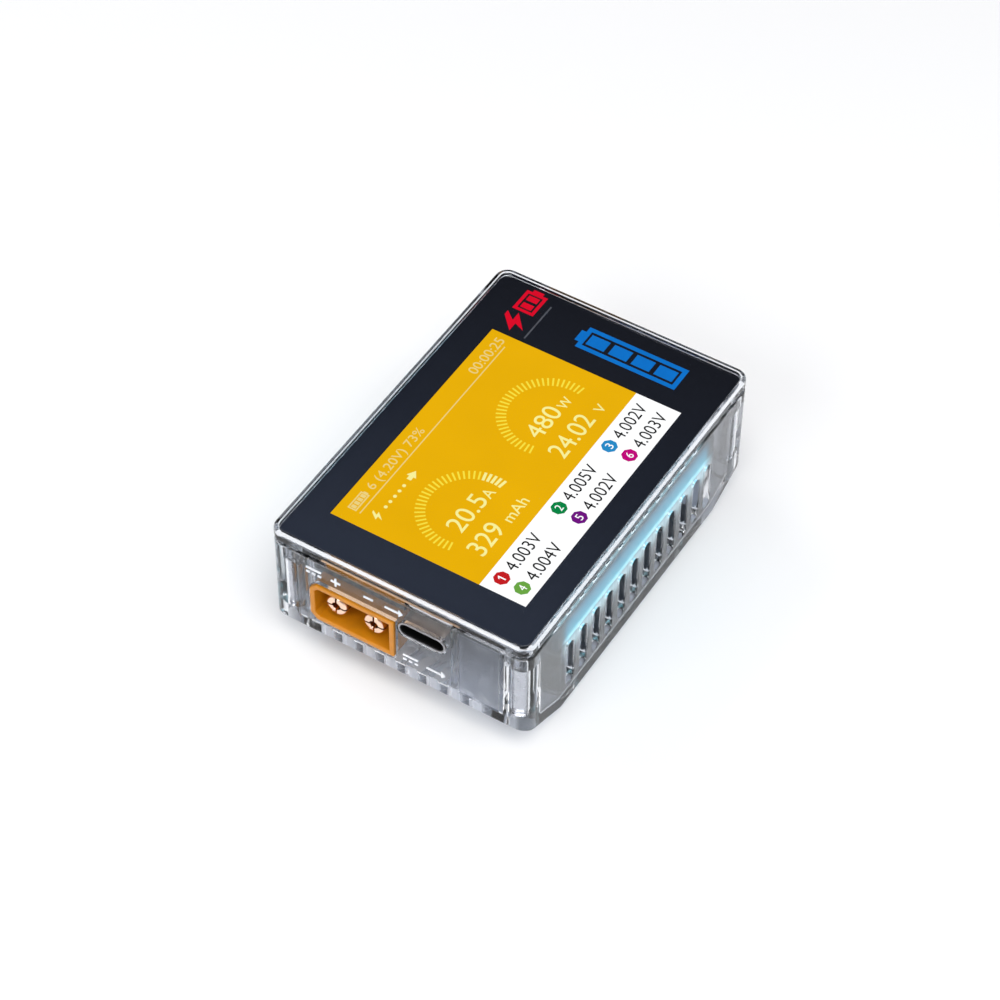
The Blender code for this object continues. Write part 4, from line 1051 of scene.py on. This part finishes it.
def capacitor(name):
    """An electrolytic can: a groove near its base, rounded ends and a score across its top."""
    low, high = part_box(name)
    middle, radius = ((low.x + high.x) / 2, (low.y + high.y) / 2), (high.x - low.x) / 2
    steps = 4
    levels = rounded(low.z, high.z, 0.4 * MM, steps)
    groove = [(high.z - d * MM, g * MM) for d, g in ((1.9, 0.0), (1.6, -0.35), (1.4, -0.35), (1.1, 0.0))]
    levels[steps + 1:steps + 1] = groove
    can = bars(name + "_can", [disc(radius, middle, 40)], levels, material=FINISHES["aluminium"])
    for u, v in ((2.4, 0.12), (0.12, 2.4)):
        corners = square(*middle, u * MM, v * MM)
        score = rectangle(corners[:2], corners[2:])
        combine(can, bars(f"{name}_score_{u}", [score], plain(low.z - BEYOND, low.z + 0.12 * MM)))
    stands_for(settle(can), name)


def inductor(name):
    """A moulded power inductor: a chamfered block with a shallow round dish."""
    low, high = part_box(name)
    middle = ((low.x + high.x) / 2, (low.y + high.y) / 2)
    outline = rounded_rectangle((high.x - low.x, high.y - low.y), 1.2 * MM, middle)
    block = bars(name + "_block", [outline], plain(low.z, high.z), material=FINISHES["ferrite"])
    bevel(block, 0.35 * MM, 3)
    dish = bars(name + "_dish", [disc(3.6 * MM, middle, 40)], plain(low.z - BEYOND, low.z + 0.2 * MM))
    settle(combine(block, dish))
    stands_for(block, name)


HUB_RADIUS = 6.9 * MM
HUB_LEVELS = (3.1 * MM, 8.1 * MM)
BLADES = 7
BLADE_TIP = 13.6 * MM
STEPS_OUT, STEPS_ACROSS = 8, 6


def blade_place(blade, i, j, side):
    """A place on one side of a blade, by its steps from root to tip and from edge to edge."""
    share, u = i / STEPS_OUT, 2 * j / STEPS_ACROSS - 1
    root = HUB_RADIUS - 0.5 * MM
    radius = root + (BLADE_TIP - root) * share
    pitch = math.radians(46 - 12 * share)
    chord, camber = (2.6 + 0.9 * share) * MM, 0.32 * MM * (1 - u * u)
    thickness = 0.32 * MM * math.sqrt(max(0.0, 1 - abs(u) ** 3))
    ahead = chord * u * math.cos(pitch) - camber * math.sin(pitch)
    height = chord * u * math.sin(pitch) * 0.92 + camber * math.cos(pitch)
    angle = 2 * math.pi * blade / BLADES + ahead / radius + 0.12 * share
    return radius * math.cos(angle), radius * math.sin(angle), height + side * thickness + 5.6 * MM


def fan_blades():
    """Swept blades with an aerofoil's curve, closed round their rims."""
    out, across = STEPS_OUT, STEPS_ACROSS
    rim = [(i, 0) for i in range(out + 1)] + [(out, j) for j in range(1, across + 1)]
    rim += [(i, across) for i in range(out - 1, -1, -1)] + [(0, j) for j in range(across - 1, 0, -1)]
    work = bmesh.new()
    for blade in range(BLADES):
        top, under = [
            [
                [work.verts.new(blade_place(blade, i, j, side)) for j in range(across + 1)]
                for i in range(out + 1)
            ]
            for side in (1, -1)
        ]
        for rows in (top, under):
            for a, b in zip(rows, rows[1:]):
                for j in range(across):
                    work.faces.new((a[j], a[j + 1], b[j + 1], b[j]))
        for (i, j), (k, m) in zip(rim, rim[1:] + rim[:1]):
            work.faces.new((top[i][j], top[k][m], under[k][m], under[i][j]))
    bmesh.ops.remove_doubles(work, verts=work.verts, dist=0.001 * MM)
    return new_object("fan_blades", finish_mesh(work, "fan_blades"), FINISHES["black_plastic"])


def fan_rotor():
    """The rotor: a rounded hub, dished on one side and hollow on the other, and its blades."""
    low, high = HUB_LEVELS
    levels = rounded(low, high, 0.6 * MM, 4)
    rotor = bars("swept_rotor", [disc(HUB_RADIUS, sides=56)], levels, material=FINISHES["black_plastic"])
    dish = bars("hub_dish", [disc(4.9 * MM, sides=40)], plain(low - BEYOND, low + 0.15 * MM))
    blades = fan_blades()
    combine(rotor, dish)
    hollow = plain(low + 0.9 * MM, 9 * MM)
    combine(rotor, bars("hub_hollow", [disc(HUB_RADIUS - 0.8 * MM, sides=48)], hollow))
    stands_for(settle(rotor), "fan_rotor", "fan")
    detail(smooth(blades), "fan")


# ---- studio


def softbox(name, place, target, size, power):
    light = bpy.data.lights.new(name, "AREA")
    light.shape = "RECTANGLE"
    light.size, light.size_y = size
    light.energy = power
    aim(new_object(name, light), place, target)


def aim(obj, place, target, roll=0.0):
    """Puts a light or a camera at a place, facing a target, turned about its own line of sight."""
    facing = (Vector(target) - Vector(place)).to_track_quat("-Z", "Y")
    obj.location = place
    obj.rotation_mode = "QUATERNION"
    obj.rotation_quaternion = facing @ Quaternion((0, 0, 1), math.radians(roll))


def daylight():
    """Soft light that is bright low down, where the clear walls mirror it, and dim overhead."""
    world = bpy.data.worlds.new("studio")
    world.use_nodes = True
    tree = world.node_tree
    background = tree.nodes["Background"]
    parts = tree.nodes.new("ShaderNodeSeparateXYZ")
    ramp = tree.nodes.new("ShaderNodeValToRGB")
    set_stops(ramp, [
        (0.0, (0.95, 0.95, 0.97)),
        (0.3, (0.70, 0.71, 0.75)),
        (0.52, (0.25, 0.26, 0.29)),
        (0.66, (0.05, 0.052, 0.06)),
        (1.0, (0.05, 0.052, 0.06)),
    ])
    tree.links.new(tree.nodes.new("ShaderNodeTexCoord").outputs["Generated"], parts.inputs["Vector"])
    tree.links.new(parts.outputs["Z"], ramp.inputs["Fac"])
    tree.links.new(ramp.outputs["Color"], background.inputs["Color"])
    background.inputs["Strength"].default_value = 1.0
    bpy.context.scene.world = world


def studio():
    """A pale floor, soft light from all round, and the camera."""
    scene = bpy.context.scene
    paper = solid_finish("studio_paper", (0.93, 0.93, 0.93), 0.9, patch=0.5, change=0.01)
    floor = bars("floor", [disc(4.0, sides=96)], plain(-2 * MM, 0.0), material=paper)
    daylight()
    scene.view_settings.view_transform = "Standard"

    target = (0, 0, 0.012)
    softbox("key", (-0.25, -0.25, 0.85), target, (0.6, 0.6), 6.7)
    softbox("side", (0.30, -0.62, 0.60), target, (0.5, 0.35), 0.9)
    softbox("end", (-0.70, 0.12, 0.55), target, (0.45, 0.3), 2.1)
    softbox("back", (0.1, 0.70, 0.62), target, (0.6, 0.3), 1.7)

    lens = bpy.data.cameras.new("camera")
    lens.lens = 111.57
    lens.clip_start = 0.02
    camera = new_object("camera", lens)
    aim(camera, (-0.2925, -0.1759, 0.3960), (-0.0016, 0.0018, 0.0135), 0.57)
    scene.camera = camera


case_shell()
case_bezel()
wall_marks()
picture()
cover()
supply_socket()
usb_inside()
chips()
trim()
for number in (1, 2):
    capacitor(f"capacitor_{number}")
for number in (1, 2):
    inductor(f"inductor_{number}")
fan_rotor()
polish(["fan_frame", "output_housing", "balance_housing", "light_bar_front", "light_bar_rear"], 0.2 * MM, 3)
polish(["heat_sink", "main_board", "display_board", "lcd_frame", "buzzer", "fan_plug", "board_header"])
polish([name for name in NODES if name.startswith("foot_")], 0.25 * MM)
small = ("power_switch_", "case_screw_", "board_screw_", "balance_pin_")
polish([name for name in NODES if name.startswith(small)], 0.08 * MM)
studio()
